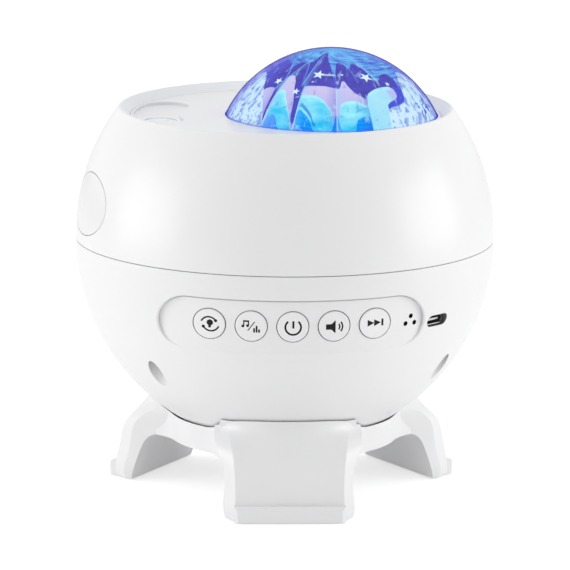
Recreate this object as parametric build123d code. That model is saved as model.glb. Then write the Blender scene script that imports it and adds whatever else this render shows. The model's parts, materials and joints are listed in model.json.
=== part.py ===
from build123d import *
from math import asin, cos, degrees, hypot, pi, radians, sin, sqrt
import os

# A bedside night light: a white ball with a crystal dome in its top deck, tilting in a three-legged
# stand. It throws moving coloured light through the dome and laser points through a small window.
#
# Frame: millimetres, +Z up. The origin is on the table under the middle of the ball, and -Y is the
# front, where the row of buttons is. The functions below work with the middle of the ball at zero
# height, and the whole model is lifted by BALL_Z when it is written.

# Ball, both shells
BALL_R = 75.0          # outer radius of both shells
FOOT_DROP = 16.3       # from the ball's lowest point down to the table
BALL_Z = BALL_R + FOOT_DROP
WALL = 2.4             # wall of the moulded shells
UPPER_RISE = 2.0       # straight band that makes the upper half a little taller
SEAM_GAP = 0.3         # shadow line between the shells
TONGUE_T = 1.1         # tongue of the lower shell inside the upper one
FIT = 0.15             # sideways clearance between parts that are fitted together
RUN_FIT = 0.05         # clearance round a turning shaft
BODY_GAP = 0.3         # clearance between parts that move past each other

# Deck recess on top
DECK_R = 0.74 * BALL_R # radius of the deck plate
RIM_W = 4.3            # from the deck's edge out to the rim's
RIM_LIP = 0.9          # flat top of the rim
DECK_DEPTH = 2.9       # from rim down to deck
DECK_T = 2.4           # deck plate
LEDGE_W = 3.4          # ring ledge that carries the deck
LEDGE_T = 2.0

# Crystal dome and star mask
DOME_X = 16.4          # dome stands off the middle, to the right
DOME_MARGIN = 1.1      # from the dome to the deck's edge
DOME_R = DECK_R - DOME_X - DOME_MARGIN
DOME_LEDGE = 4.0       # ledge in the deck's opening that carries it
DOME_FOOT = 3.5        # width of its flat foot
DOME_H = 24.0          # height above the deck
DOME_SEAT = 1.2        # depth of its seat in the deck
DOME_WALL = 3.0        # least wall between the round outside and the cut inside
DOME_FACETS = 12       # flat facets round the inside
MASK_R = DOME_R - 4.4  # radius of the star mask's ball shape
MASK_H = 19.0          # its height above the dome's seat
MASK_T = 0.8
MASK_RIM = DOME_R - DOME_LEDGE - 0.2

# Laser window and the bean-shaped dish round it
LASER_PATH_R = DECK_R - 9.2   # dish follows the rim on this radius
LASER_ANGLE = 193.7    # window's place round the deck, from +X
DISH_END_ANGLE = 156.0
DISH_HALF = 8.2        # half the width of the dish
DISH_DEPTH = 1.0
BEZEL_R = 7.3
BEZEL_W = 1.4
BEZEL_H = 0.7

# Control panel on the lower shell
PANEL_Z = -18.4        # height of the row of buttons
PANEL_W = 92.4         # slot-shaped recess, seen from the front
PANEL_H = 19.4
PANEL_TOP_DEPTH = 1.9  # depth of the recess at its top edge
PANEL_LOW_DEPTH = 0.15 # and at its bottom edge
PANEL_EDGE = 0.6       # rounded edge of the recess
PANEL_WALL = 2.4
BUTTON_R = 5.45
BUTTON_GAP = 0.3       # ring gap round each cap
BUTTON_PITCH = 14.4
BUTTON_PROUD = 0.45
BUTTON_SKIN = 1.8      # face of the cap
BUTTON_WALL = 1.2
BUTTON_EDGE = 0.35
BUTTON_TRAVEL = 0.6
FLANGE_R = 6.4
FLANGE_T = 0.8
FLANGE_GAP = 0.2       # behind the guide
STEM_GAP = 0.1         # between stem and switch when the key is fully pressed
STEM_R = 1.6
GUIDE_Y = 20.0 - BALL_R       # back face of the plate that guides the caps
GUIDE_T = 1.5
GUIDE_H = 15.6
BOARD_Y = GUIDE_Y + 9.0       # front face of the main board
BOARD_W = 4 * BUTTON_PITCH + 10.4
BOARD_H = 20.6
BOARD_T = 1.6
COLUMN_R = 2.6         # columns that carry the guide and the board
COLUMN_STEP = 0.8      # shoulder under the guide
COLUMN_DX = 1.5 * BUTTON_PITCH
COLUMN_DZ = 7.2
BOARD_SCREW_R = 0.85
BOARD_SCREW_LEN = 5.0
BOARD_SCREW_HEAD_R = 1.8
BOARD_SCREW_HEAD_T = 1.2
CHIP_X = 10.0          # controller left, amplifier and memory right
CHIP_RISE = 4.5
CHIP_DROP = -4.0
CHIP_T = 1.4
CONTROLLER_W = 10.0
AMPLIFIER_W = 7.0
MEMORY_W = 5.0
CAPACITOR_R = 3.1
CAPACITOR_LEN = 7.0
CAPACITOR_X = 28.0
SWITCH_BODY = 3.4      # key switch under each cap
SWITCH_W = 6.0
SWITCH_TIP = 1.5
SWITCH_TIP_R = 1.75
DOT_AZ = 36.0          # three small holes right of the buttons
DOT_R = 0.8
DOT_STEP = 2.1         # sideways between the upper one and each lower one
DOT_RISE = 1.1         # upper one above the row of buttons
DOT_DROP = 1.5         # lower ones below it
PIPE_RECESS = 1.0      # light pipes end behind the panel's face
USB_AZ = 45.7          # USB-C inlet
USB_Z = -20.3
USB_SLOT_W = 10.4
USB_SLOT_H = 4.2
USB_W = 8.94
USB_H = 3.26
USB_DEPTH = 7.35

# Screw wells
WELL_AXIS = 6.0        # the four screws are placed about this line
WELL_SPREAD = 54.0
WELL_PLAN_R = BALL_R - 12.6
WELL_R = 3.2
WELL_TOP = -6.0        # seat of the screw heads
POST_WALL = 1.4
POST_FLOOR = 2.4
SCREW_R = 1.3
SCREW_HEAD_R = 2.6
SCREW_HEAD_H = 1.8
SCREW_LEN = 10.0
CROSS_L = 2.8          # cross recess of the head
CROSS_W = 0.6
CROSS_DEPTH = 0.8

# Side badge, left bare
BADGE_AZ = -75.5
BADGE_Z = 15.5
BADGE_HALF_W = 18.0
BADGE_HALF_H = 11.0
BADGE_T = 1.0
BADGE_GROOVE = 0.3

# Light engine under the dome
LAMP_R_IN = DOME_R - 8.6      # light housing
LAMP_WALL = 1.8
LAMP_FLANGE_R = DOME_R - 3.0
LAMP_FLANGE_T = 2.0
SINK_TOP = 8.0         # heat sink
SINK_PLATE = 4.0
SINK_R = DOME_R - 5.0
FIN_H = 12.0
FIN_T = 1.6
FIN_COUNT = 9
LED_BOARD_R = LAMP_R_IN - 1.9
LED_BOARD_T = 1.6
LED_RING_R = 13.0
LED_W = 5.0
LED_H = 1.5
LED_LENS_R = 2.0
SPINDLE_R = 1.5
BUSH_R = 3.0
RIPPLE_R = LAMP_R_IN - 2.4
RIPPLE_Z = 21.0
RIPPLE_T = 3.0
RIPPLE_HUB_R = 4.0
GEAR_MODULE = 0.8
GEAR_TEETH = 30
PINION_TEETH = 10
GEAR_T = 3.0
GEAR_GAP = 1.5         # between fins and gear
MOTOR_W = 20.0
MOTOR_D = 15.0
MOTOR_LEN = 25.0
SHAFT_R = 0.95
MOTOR_NOSE_R = 3.0
BRACKET_T = 1.6
BRACKET_GAP = 1.6      # under the gears
BRACKET_W = 26.0
BRACKET_ENDS = (-30.0, 22.0)   # its two legs, from the spindle

# Laser unit
LASER_R = 4.0
LASER_LEN = 20.0
LASER_DROP = 6.0       # top of the barrel under the deck
GRATING_R = 9.4
GRATING_T = 1.0
GRATING_OFFSET = 7.6   # its axis beside the beam
GRATING_MOTOR_R = 3.0
GRATING_MOTOR_LEN = 12.0
GRATING_RISE = 1.6     # disc above its motor
GRATING_SHAFT_R = 0.4
GRATING_SHAFT_LEN = 5.0
GRATING_BOSS_R = 1.8
GRATING_BOSS_T = 1.0
MOUNT_T = 6.0
MOUNT_W = 12.0
MOUNT_DROP = 1.5       # block below the motor's top
MOUNT_POST_R = 2.2
MOUNT_POST_SHIFT = 1.0

# Loudspeaker
SPEAKER_R = 18.0
SPEAKER_Z = -22.0
SPEAKER_Y = BALL_R - 17.0     # front face of its frame
SPEAKER_FLANGE_T = 1.6
SPEAKER_DEPTH = 9.0
MAGNET_R = 10.5
MAGNET_T = 6.0
COLLAR_WALL = 1.7
GRILLE_PITCH = 4.6
GRILLE_HOLE_R = 1.1

# Stand
STAND_GAP = 0.6        # cup surface behind the ball
STAND_TOP = -0.764 * BALL_R   # top of the legs
LEG_TOP_R = sqrt((BALL_R + STAND_GAP)**2 - STAND_TOP**2) - 0.3
HUB_R = LEG_TOP_R - 8.0
HUB_FLOOR = 2.9        # hub under the lowest point of the cup
LEG_COUNT = 3
LEG_TOP_HALF = 24.0    # half the width of a leg at its top
LEG_LOW_HALF = 22.5    # and on the table
STRIP_W = 3.3          # slanted strips beside the leg's face, seen from the front
STRIP_DEPTH = 6.0
TOE_BEVEL = 1.2
LEG_BLEND = 20.0       # inside corners between legs and hub
TOE_H = 6.0
TOE_REACH = 12.6       # toe beyond the leg's top
TOE_R = LEG_TOP_R + TOE_REACH
TOE_STEP = 3.0
TOE_LEN = 11.2
FOOT_INNER = TOE_R - TOE_LEN
ARCH_R = HUB_R - 3.7   # crown of the arch under each leg
ARCH_RISE = 3.0        # crown above the cup's lowest point
ARCH_Z = ARCH_RISE - BALL_R - STAND_GAP
PAD_T = 1.6
PAD_PROUD = 0.4
PAD_W = 36.0
PAD_D = 7.0
PAD_CORNER = 2.0
RING_R = HUB_R - 8.0   # soft seat ring in the cup
RING_W = 5.0
RING_T = 1.8
RING_CLEAR = 0.25

# Worked out from the sizes above
INNER_R = BALL_R - WALL
RIM_R = DECK_R + RIM_W
RIM_Z = UPPER_RISE + sqrt(BALL_R**2 - RIM_R**2)
DECK_Z = RIM_Z - DECK_DEPTH
DECK_LOW = DECK_Z - DECK_T
DOME_BASE_Z = DECK_Z - DOME_SEAT
DOME_BALL_R = (DOME_R**2 + DOME_H**2) / (2 * DOME_H)
DOME_BALL_Z = DECK_Z + DOME_H - DOME_BALL_R
MASK_BALL_Z = DOME_BASE_Z + MASK_H - MASK_R
PANEL_TOP_Z = PANEL_Z + PANEL_H / 2
PANEL_LOW_Z = PANEL_Z - PANEL_H / 2
FIN_LOW = SINK_TOP - SINK_PLATE - FIN_H
GEAR_TOP = FIN_LOW - GEAR_GAP
GEAR_AXES = GEAR_MODULE * (GEAR_TEETH + PINION_TEETH) / 2
POST_R = WELL_R + POST_WALL
FOOT_Z = -BALL_Z
WELL_ANGLES = [WELL_AXIS + side + turn for side in (0, 180) for turn in (-WELL_SPREAD, WELL_SPREAD)]
LEG_TURNS = [Rot(0, 0, 360 / LEG_COUNT * i) for i in range(LEG_COUNT)]
BUTTON_X = [BUTTON_PITCH * step for step in (-2, -1, 0, 1, 2)]
BUTTON_NAMES = ["light", "music", "power", "volume", "next"]
COLUMN_SPOTS = [(x, PANEL_Z + z) for x in (-COLUMN_DX, COLUMN_DX) for z in (-COLUMN_DZ, COLUMN_DZ)]


def at_azimuth(azimuth, radius, z=0.0):
    """A point at this azimuth from the front, positive to the right."""
    a = radians(azimuth)
    return Vector(radius * sin(a), -radius * cos(a), z)


def ball_radius(z, radius=BALL_R, centre=0.0):
    """Radius of a ball's level section at height z."""
    return sqrt(radius**2 - (z - centre)**2)


def panel_radius(z):
    """Radius of the conical floor of the control panel's recess at height z."""
    top = ball_radius(PANEL_TOP_Z) - PANEL_TOP_DEPTH
    low = ball_radius(PANEL_LOW_Z) - PANEL_LOW_DEPTH
    return low + (top - low) * (z - PANEL_LOW_Z) / (PANEL_TOP_Z - PANEL_LOW_Z)


def revolved(points):
    """Turn a closed outline of (radius, height) points round the Z axis."""
    face = make_face(Plane.XZ * Polyline(*points, close=True))
    return revolve(face, Axis.Z)


def tube(outer, inner, z0, z1):
    """Upright tube between two heights."""
    ring = Circle(outer) - Circle(inner)
    return extrude(Pos(0, 0, z0) * ring, z1 - z0)


def rod(radius, z0, z1):
    """Upright rod between two heights."""
    return extrude(Pos(0, 0, z0) * Circle(radius), z1 - z0)


def rod_y(radius, y0, y1, x=0.0, z=0.0):
    """Rod along Y from y0 back to y1."""
    return extrude(Plane(origin=(x, y0, z), x_dir=(1, 0, 0), z_dir=(0, 1, 0)) * Circle(radius), y1 - y0)


def box_between(low, high):
    """Box from its low corner to its high corner."""
    size = [high[i] - low[i] for i in range(3)]
    centre = [(high[i] + low[i]) / 2 for i in range(3)]
    return Pos(*centre) * Box(*size)


def radial_plane(azimuth, radius, z):
    """Plane at a point of the wall, facing outwards and level."""
    a = radians(azimuth)
    return Plane(origin=at_azimuth(azimuth, radius, z), x_dir=(cos(a), sin(a), 0), z_dir=(sin(a), -cos(a), 0))


def solids(pieces):
    """Several separate solids as one node."""
    return Compound(children=[solid for piece in pieces for solid in piece.solids()])


# Shells

def panel_slot():
    """Slot-shaped cutter of the control panel, down to the cone of its floor."""
    slot = extrude(Plane(origin=(0, -BALL_R - 5, PANEL_Z), x_dir=(1, 0, 0), z_dir=(0, 1, 0))
                   * SlotOverall(PANEL_W, PANEL_H), BALL_R)
    z0, z1 = PANEL_LOW_Z - 3, PANEL_TOP_Z + 3
    outside = revolved([(panel_radius(z0), z0), (BALL_R + 8, z0), (BALL_R + 8, z1), (panel_radius(z1), z1)])
    return slot & outside


def well_post(azimuth):
    """Post that runs from the lower shell up to the screw's seat."""
    place = Pos(*at_azimuth(azimuth, WELL_PLAN_R))
    return place * rod(POST_R, -BALL_R, WELL_TOP + POST_FLOOR)


def well_bore(azimuth):
    """Well for the screwdriver, and the screw's clearance hole."""
    place = Pos(*at_azimuth(azimuth, WELL_PLAN_R))
    return place * (rod(WELL_R, -BALL_R, WELL_TOP) + rod(SCREW_R + FIT, WELL_TOP - 1, WELL_TOP + 9))


def button_columns():
    """Columns behind the panel: a shoulder for the guide plate, and a seat for the board."""
    columns = []
    for x, z in COLUMN_SPOTS:
        columns.append(rod_y(COLUMN_R, -INNER_R, BOARD_Y, x, z))
        columns.append(rod_y(COLUMN_R + COLUMN_STEP, -INNER_R, GUIDE_Y - GUIDE_T, x, z))
    return columns


def grille_holes():
    """Sound holes in rings about the loudspeaker's axis."""
    spots = [(0.0, 0.0)]
    for ring in (1, 2, 3):
        count = 6 * ring
        for i in range(count):
            a = 2 * pi * i / count
            spots.append((ring * GRILLE_PITCH * cos(a), ring * GRILLE_PITCH * sin(a)))
    return [rod_y(GRILLE_HOLE_R, SPEAKER_Y + 2, BALL_R + 2, x, SPEAKER_Z + z) for x, z in spots]


def usb_slot():
    """Rounded opening in the wall for the plug."""
    return extrude(radial_plane(USB_AZ, BALL_R - 9, USB_Z) * SlotOverall(USB_SLOT_W, USB_SLOT_H), 12)


def usb_cradle():
    """Pad inside the wall that carries the inlet's small board."""
    low = USB_Z - USB_H / 2 - 1.0
    plane = radial_plane(USB_AZ, BALL_R - 14, low - 3)
    return extrude(plane * Rectangle(12, 3, align=(Align.CENTER, Align.MIN)), 13)


def dot_places():
    """Azimuth and height of the three small holes."""
    side = degrees(DOT_STEP / BALL_R)
    low = PANEL_Z - DOT_DROP
    return [(DOT_AZ, PANEL_Z + DOT_RISE), (DOT_AZ - side, low), (DOT_AZ + side, low)]


def lower_shell():
    below = box_between((-90, -90, -90), (90, 90, -SEAM_GAP / 2))
    inside = Sphere(BALL_R - 0.5)
    shell = (Sphere(BALL_R) & below) - Sphere(INNER_R)
    shell += tube(INNER_R + TONGUE_T, INNER_R, -SEAM_GAP - 1, UPPER_RISE)
    shell -= Sphere(INNER_R) & box_between((-90, -90, -9), (90, 90, 0))

    # thicker wall behind the control panel
    z0, z1 = PANEL_LOW_Z - 2, min(PANEL_TOP_Z + 2, -1)
    band = revolved([(panel_radius(z0) - PANEL_WALL, z0), (BALL_R, z0),
                     (BALL_R, z1), (panel_radius(z1) - PANEL_WALL, z1)])
    half = PANEL_W / 2 + 2
    band &= box_between((-half, -BALL_R, -BALL_R), (half, -BALL_R / 2, 0))
    shell += band & inside

    collar = rod_y(SPEAKER_R + FIT + COLLAR_WALL, SPEAKER_Y - 4, BALL_R, 0, SPEAKER_Z)
    collar -= rod_y(SPEAKER_R + FIT, SPEAKER_Y - 5, SPEAKER_Y, 0, SPEAKER_Z)
    collar -= rod_y(SPEAKER_R - 1.6, SPEAKER_Y - 5, BALL_R, 0, SPEAKER_Z)
    features = [well_post(a) for a in WELL_ANGLES] + button_columns() + [collar, usb_cradle()]
    for feature in features:
        shell += feature & inside

    shell -= panel_slot()
    middles = [(edge, edge @ 0.5) for edge in shell.edges()]
    recess_top = [edge for edge, middle in middles
                  if abs(middle.Z - PANEL_TOP_Z) < 0.01 and abs(middle.length - BALL_R) < 0.01]
    shell = fillet(recess_top, PANEL_EDGE)
    for x in BUTTON_X:
        shell -= rod_y(BUTTON_R + BUTTON_GAP, -BALL_R - 1, GUIDE_Y - GUIDE_T - 1, x, PANEL_Z)
    for x, z in COLUMN_SPOTS:
        shell -= rod_y(BOARD_SCREW_R + RUN_FIT, BOARD_Y - BOARD_SCREW_LEN - 2, BOARD_Y + 1, x, z)
    for azimuth in WELL_ANGLES:
        shell -= well_bore(azimuth)
    for azimuth, z in dot_places():
        shell -= extrude(radial_plane(azimuth, BALL_R - 12, z) * Circle(DOT_R), 14)
    shell -= usb_slot()
    for hole in grille_holes():
        shell -= hole
    return shell


def badge_plane():
    """Plane that touches the upper shell in the middle of the badge."""
    flat = ball_radius(BADGE_Z, BALL_R, UPPER_RISE)
    point = at_azimuth(BADGE_AZ, flat, BADGE_Z)
    normal = (point - Vector(0, 0, UPPER_RISE)).normalized()
    a = radians(BADGE_AZ)
    return Plane(origin=point, x_dir=(cos(a), sin(a), 0), z_dir=normal)


def badge_column(grow):
    """Oval column through the wall at the badge."""
    plane = badge_plane()
    oval = plane * Ellipse(BADGE_HALF_W + grow, BADGE_HALF_H + grow)
    return extrude(oval, 4, both=True)


def upper_ball(radius):
    """The upper half's rounded form: a ball raised by the straight band."""
    return Pos(0, 0, UPPER_RISE) * Sphere(radius)


def upper_shell():
    seam = SEAM_GAP / 2
    ledge_low = DECK_LOW - LEDGE_T
    inner_top = ball_radius(ledge_low, INNER_R, UPPER_RISE)
    middle = asin((RIM_Z - UPPER_RISE) / BALL_R) / 2
    middle_in = asin((ledge_low - UPPER_RISE) / INNER_R) / 2
    outline = [
        Line((BALL_R, seam), (BALL_R, UPPER_RISE)),
        ThreePointArc((BALL_R, UPPER_RISE),
                      (BALL_R * cos(middle), UPPER_RISE + BALL_R * sin(middle)), (RIM_R, RIM_Z)),
        Line((RIM_R, RIM_Z), (RIM_R - RIM_LIP, RIM_Z)),
        Line((RIM_R - RIM_LIP, RIM_Z), (DECK_R + FIT, DECK_Z)),
        Line((DECK_R + FIT, DECK_Z), (DECK_R + FIT, DECK_LOW)),
        Line((DECK_R + FIT, DECK_LOW), (DECK_R - LEDGE_W, DECK_LOW)),
        Line((DECK_R - LEDGE_W, DECK_LOW), (DECK_R - LEDGE_W, ledge_low)),
        Line((DECK_R - LEDGE_W, ledge_low), (inner_top, ledge_low)),
        ThreePointArc((inner_top, ledge_low),
                      (INNER_R * cos(middle_in), UPPER_RISE + INNER_R * sin(middle_in)),
                      (INNER_R, UPPER_RISE)),
        Line((INNER_R, UPPER_RISE), (INNER_R + TONGUE_T + FIT, UPPER_RISE)),
        Line((INNER_R + TONGUE_T + FIT, UPPER_RISE), (INNER_R + TONGUE_T + FIT, seam)),
        Line((INNER_R + TONGUE_T + FIT, seam), (BALL_R, seam)),
    ]
    face = make_face([Plane.XZ * edge for edge in outline])
    lip = [v for v in face.vertices() if v.Z > RIM_Z - 0.01]
    face = fillet(lip, RIM_LIP * 0.45)
    shell = revolve(face, Axis.Z)
    for azimuth in WELL_ANGLES:
        place = Pos(*at_azimuth(azimuth, WELL_PLAN_R))
        boss = place * rod(SCREW_R + 2.2, WELL_TOP + POST_FLOOR, RIM_Z)
        boss -= place * rod(SCREW_R, WELL_TOP, WELL_TOP + POST_FLOOR + SCREW_LEN + 2)
        shell += boss & upper_ball(BALL_R - 0.5)
    shell -= badge_column(BADGE_GROOVE) - upper_ball(BALL_R - BADGE_T)
    return shell


def side_badge():
    return (badge_column(0.0) & upper_ball(BALL_R)) - upper_ball(BALL_R - BADGE_T)


def shell_screws():
    screws = []
    for azimuth in WELL_ANGLES:
        screw = rod(SCREW_HEAD_R, WELL_TOP - SCREW_HEAD_H, WELL_TOP)
        screw += rod(SCREW_R - RUN_FIT, WELL_TOP - 0.2, WELL_TOP - SCREW_HEAD_H + SCREW_LEN)
        cross = Box(CROSS_L, CROSS_W, 2 * CROSS_DEPTH) + Box(CROSS_W, CROSS_L, 2 * CROSS_DEPTH)
        screw -= Pos(0, 0, WELL_TOP - SCREW_HEAD_H) * cross
        screws.append(Pos(*at_azimuth(azimuth, WELL_PLAN_R)) * screw)
    return solids(screws)


# Deck, dome, mask, laser window

def on_deck(angle, radius):
    """Point of the deck by its angle from +X."""
    a = radians(angle)
    return (radius * cos(a), radius * sin(a))


LASER_XY = on_deck(LASER_ANGLE, LASER_PATH_R)


def bean(half_width):
    """Bean-shaped outline that follows the rim."""
    start, end = radians(DISH_END_ANGLE), radians(LASER_ANGLE)
    sweep = degrees(end - start)
    path = CenterArc((0, 0), LASER_PATH_R, DISH_END_ANGLE, sweep)
    return SlotArc(arc=path, height=2 * half_width)


def deck_plate():
    deck = rod(DECK_R, DECK_LOW, DECK_Z)
    deck -= extrude(Pos(0, 0, DECK_Z - DISH_DEPTH) * bean(DISH_HALF), DISH_DEPTH + 1)
    deck -= Pos(DOME_X, 0, 0) * rod(DOME_R - DOME_LEDGE, DECK_LOW - 1, DECK_Z + 1)
    deck -= Pos(DOME_X, 0, 0) * rod(DOME_R + FIT, DOME_BASE_Z, DECK_Z + 1)
    deck -= Pos(*LASER_XY) * rod(BEZEL_R - BEZEL_W - RUN_FIT, DECK_LOW - 1, DECK_Z + 1)
    return deck


def dome_lens():
    outside = rod(DOME_R, DOME_BASE_Z, DECK_Z + DOME_H) & (Pos(0, 0, DOME_BALL_Z) * Sphere(DOME_BALL_R))
    # rings of flat facets, each on a circle of latitude inside the wall
    reach = DOME_BALL_R - DOME_WALL
    low_r = min(ball_radius(DOME_BASE_Z, reach, DOME_BALL_Z), DOME_R - DOME_FOOT)
    rings = [(low_r, DOME_BASE_Z - 0.01)]
    for share in (0.52, 0.88):
        z = DOME_BASE_Z + (DOME_BALL_Z + reach - DOME_BASE_Z) * share
        rings.append((ball_radius(z, reach, DOME_BALL_Z) - 0.3, z))
    step = 180 / DOME_FACETS
    sections = []
    for i, (radius, z) in enumerate(rings):
        sections.append(Pos(0, 0, z) * Rot(0, 0, step * i) * RegularPolygon(radius, DOME_FACETS))
    inside = loft(sections[0:2], ruled=True) + loft(sections[1:3], ruled=True)
    return Pos(DOME_X, 0, 0) * (outside - inside)


def star_outline(size):
    """Five-pointed star."""
    points = []
    for i in range(10):
        radius = size if i % 2 == 0 else 0.45 * size
        a = pi / 2 + pi * i / 5
        points.append((radius * cos(a), radius * sin(a)))
    return make_face(Polyline(*points, close=True))


def star_mask():
    ball = Pos(0, 0, MASK_BALL_Z) * Sphere(MASK_R)
    core = Pos(0, 0, MASK_BALL_Z) * Sphere(MASK_R - MASK_T)
    above = rod(MASK_R + 5, DOME_BASE_Z - DOME_SEAT, DOME_BASE_Z + MASK_H + 5)
    mask = (ball & above) - core
    rim = ball_radius(DOME_BASE_Z, MASK_R, MASK_BALL_Z)
    mask += tube(MASK_RIM, rim - 1, DECK_LOW, DOME_BASE_Z)
    mask -= core
    stars = [(90, 0, 2.2)]
    for count, tilt, size in ((5, 64, 1.7), (8, 44, 1.5)):
        for i in range(count):
            stars.append((tilt, 360 * i / count + tilt, size if i % 2 else size * 0.75))
    for tilt, turn, size in stars:
        a, e = radians(turn), radians(tilt)
        out = Vector(cos(e) * cos(a), cos(e) * sin(a), sin(e))
        plane = Plane(origin=Vector(0, 0, MASK_BALL_Z) + out * (MASK_R - 3), z_dir=out)
        mask -= extrude(plane * star_outline(size), 6)
    return Pos(DOME_X, 0, 0) * mask


def laser_bezel():
    low = DECK_Z - DISH_DEPTH
    return Pos(*LASER_XY) * tube(BEZEL_R, BEZEL_R - BEZEL_W, low, low + BEZEL_H)


def laser_window():
    low = DECK_Z - DISH_DEPTH
    radius = BEZEL_R - BEZEL_W - 2 * RUN_FIT
    ball = (radius**2 + 0.8**2) / (2 * 0.8)
    disc = rod(radius, DECK_LOW + 0.3, low + BEZEL_H + 0.5)
    disc &= Pos(0, 0, low + BEZEL_H + 0.5 - ball) * Sphere(ball)
    return Pos(*LASER_XY) * disc


# Buttons and electronics

def button(x):
    """One cap: a hollow round key with a flange behind the guide and a stem over its switch."""
    start = GUIDE_Y + FLANGE_GAP
    hull = rod_y(BUTTON_R, -BALL_R, start + FLANGE_T, x, PANEL_Z)
    z0, z1 = PANEL_LOW_Z, PANEL_TOP_Z
    face = revolved([(0, z0), (panel_radius(z0) + BUTTON_PROUD, z0),
                     (panel_radius(z1) + BUTTON_PROUD, z1), (0, z1)])
    cap = hull & face
    rim = [edge for edge in cap.edges() if edge.center().Y < GUIDE_Y - 6]
    cap = fillet(rim, BUTTON_EDGE)
    front = -sqrt(panel_radius(PANEL_Z - BUTTON_R)**2 - (abs(x) + BUTTON_R)**2)
    cap -= rod_y(BUTTON_R - BUTTON_WALL, front + BUTTON_SKIN, GUIDE_Y + 5, x, PANEL_Z)
    flange = rod_y(FLANGE_R, start, start + FLANGE_T, x, PANEL_Z)
    cap += flange - rod_y(BUTTON_R - BUTTON_WALL, start - 1, start + 5, x, PANEL_Z)
    tip = BOARD_Y - SWITCH_BODY - SWITCH_TIP - BUTTON_TRAVEL - STEM_GAP
    cap += rod_y(STEM_R, front + BUTTON_SKIN - 0.5, tip, x, PANEL_Z)
    return cap


def button_guide():
    plate = box_between((-BOARD_W / 2 - 1.5, GUIDE_Y - GUIDE_T, PANEL_Z - GUIDE_H / 2),
                        (BOARD_W / 2 + 1.5, GUIDE_Y, PANEL_Z + GUIDE_H / 2))
    for x in BUTTON_X:
        plate -= rod_y(BUTTON_R + FIT, GUIDE_Y - 5, GUIDE_Y + 1, x, PANEL_Z)
    for x, z in COLUMN_SPOTS:
        plate -= rod_y(COLUMN_R + FIT, GUIDE_Y - 5, GUIDE_Y + 1, x, z)
    return plate


def main_board():
    board = box_between((-BOARD_W / 2, BOARD_Y, PANEL_Z - BOARD_H / 2),
                        (BOARD_W / 2, BOARD_Y + BOARD_T, PANEL_Z + BOARD_H / 2))
    for x, z in COLUMN_SPOTS:
        board -= rod_y(BOARD_SCREW_R + 2 * FIT, BOARD_Y - 1, BOARD_Y + BOARD_T + 1, x, z)
    return board


def board_chips():
    """Controller, sound amplifier, memory and a filter capacitor on the back of the board."""
    back = BOARD_Y + BOARD_T
    chips = []
    spots = [(-CHIP_X, 0, CONTROLLER_W), (CHIP_X, CHIP_RISE, AMPLIFIER_W), (CHIP_X, CHIP_DROP, MEMORY_W)]
    for x, z, width in spots:
        low = (x - width / 2, back, PANEL_Z + z - width / 2)
        high = (x + width / 2, back + CHIP_T, PANEL_Z + z + width / 2)
        chips.append(box_between(low, high))
    chips.append(rod_y(CAPACITOR_R, back, back + CAPACITOR_LEN, CAPACITOR_X, PANEL_Z))
    return solids(chips)


def key_switches():
    parts = []
    half = SWITCH_W / 2
    for x in BUTTON_X:
        body = box_between((x - half, BOARD_Y - SWITCH_BODY, PANEL_Z - half),
                           (x + half, BOARD_Y, PANEL_Z + half))
        body += rod_y(SWITCH_TIP_R, BOARD_Y - SWITCH_BODY - SWITCH_TIP, BOARD_Y - SWITCH_BODY, x, PANEL_Z)
        parts.append(body)
    return solids(parts)


def board_screws():
    parts = []
    back = BOARD_Y + BOARD_T
    for x, z in COLUMN_SPOTS:
        screw = rod_y(BOARD_SCREW_R, BOARD_Y - BOARD_SCREW_LEN, back, x, z)
        parts.append(screw + rod_y(BOARD_SCREW_HEAD_R, back, back + BOARD_SCREW_HEAD_T, x, z))
    return solids(parts)


def usb_parts():
    """Small board of the inlet, and the inlet's steel shell with its tongue."""
    mouth = ball_radius(USB_Z) - WALL + 0.6
    low = USB_Z - USB_H / 2
    plane = radial_plane(USB_AZ, mouth - USB_DEPTH, USB_Z)
    shell = extrude(plane * SlotOverall(USB_W, USB_H), USB_DEPTH)
    bore = Plane(origin=plane.origin + plane.z_dir * 1.0, x_dir=plane.x_dir, z_dir=plane.z_dir)
    shell -= extrude(bore * SlotOverall(USB_W - 0.6, USB_H - 0.6), USB_DEPTH)
    shell += extrude(bore * Rectangle(6.6, 0.7), USB_DEPTH - 1.8)
    board_plane = radial_plane(USB_AZ, BALL_R - 14, low - 1.0)
    board = extrude(board_plane * Rectangle(11, 1.0, align=(Align.CENTER, Align.MIN)), mouth - BALL_R + 10.5)
    return shell, board


def microphone():
    azimuth, z = dot_places()[0]
    back = panel_radius(z) - PANEL_WALL
    return extrude(radial_plane(azimuth, back - 2.3, z) * Circle(1.5), 2.0)


def status_lights():
    """Two light pipes that end just inside their holes."""
    parts = []
    for azimuth, z in dot_places()[1:]:
        start = panel_radius(z) - PANEL_WALL - 1.5
        length = PANEL_WALL + 1.5 - PIPE_RECESS
        parts.append(extrude(radial_plane(azimuth, start, z) * Circle(DOT_R - RUN_FIT), length))
    return solids(parts)


# Light engine

def gear(teeth, bore, z0, z1, turn=0.0):
    """Spur gear with plain slanted flanks and a little play."""
    pitch_r = GEAR_MODULE * teeth / 2
    tip, root = pitch_r + 0.9 * GEAR_MODULE, pitch_r - 1.15 * GEAR_MODULE
    widths = ((root, 0.30), (pitch_r, 0.21), (tip, 0.09))
    points = []
    for i in range(teeth):
        middle = 360 / teeth * i + turn
        for radius, half in widths:
            points.append(on_deck(middle - half * 360 / teeth, radius))
        for radius, half in reversed(widths):
            points.append(on_deck(middle + half * 360 / teeth, radius))
    face = make_face(Polyline(*points, close=True)) - Circle(bore)
    return extrude(Pos(0, 0, z0) * face, z1 - z0)


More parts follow.
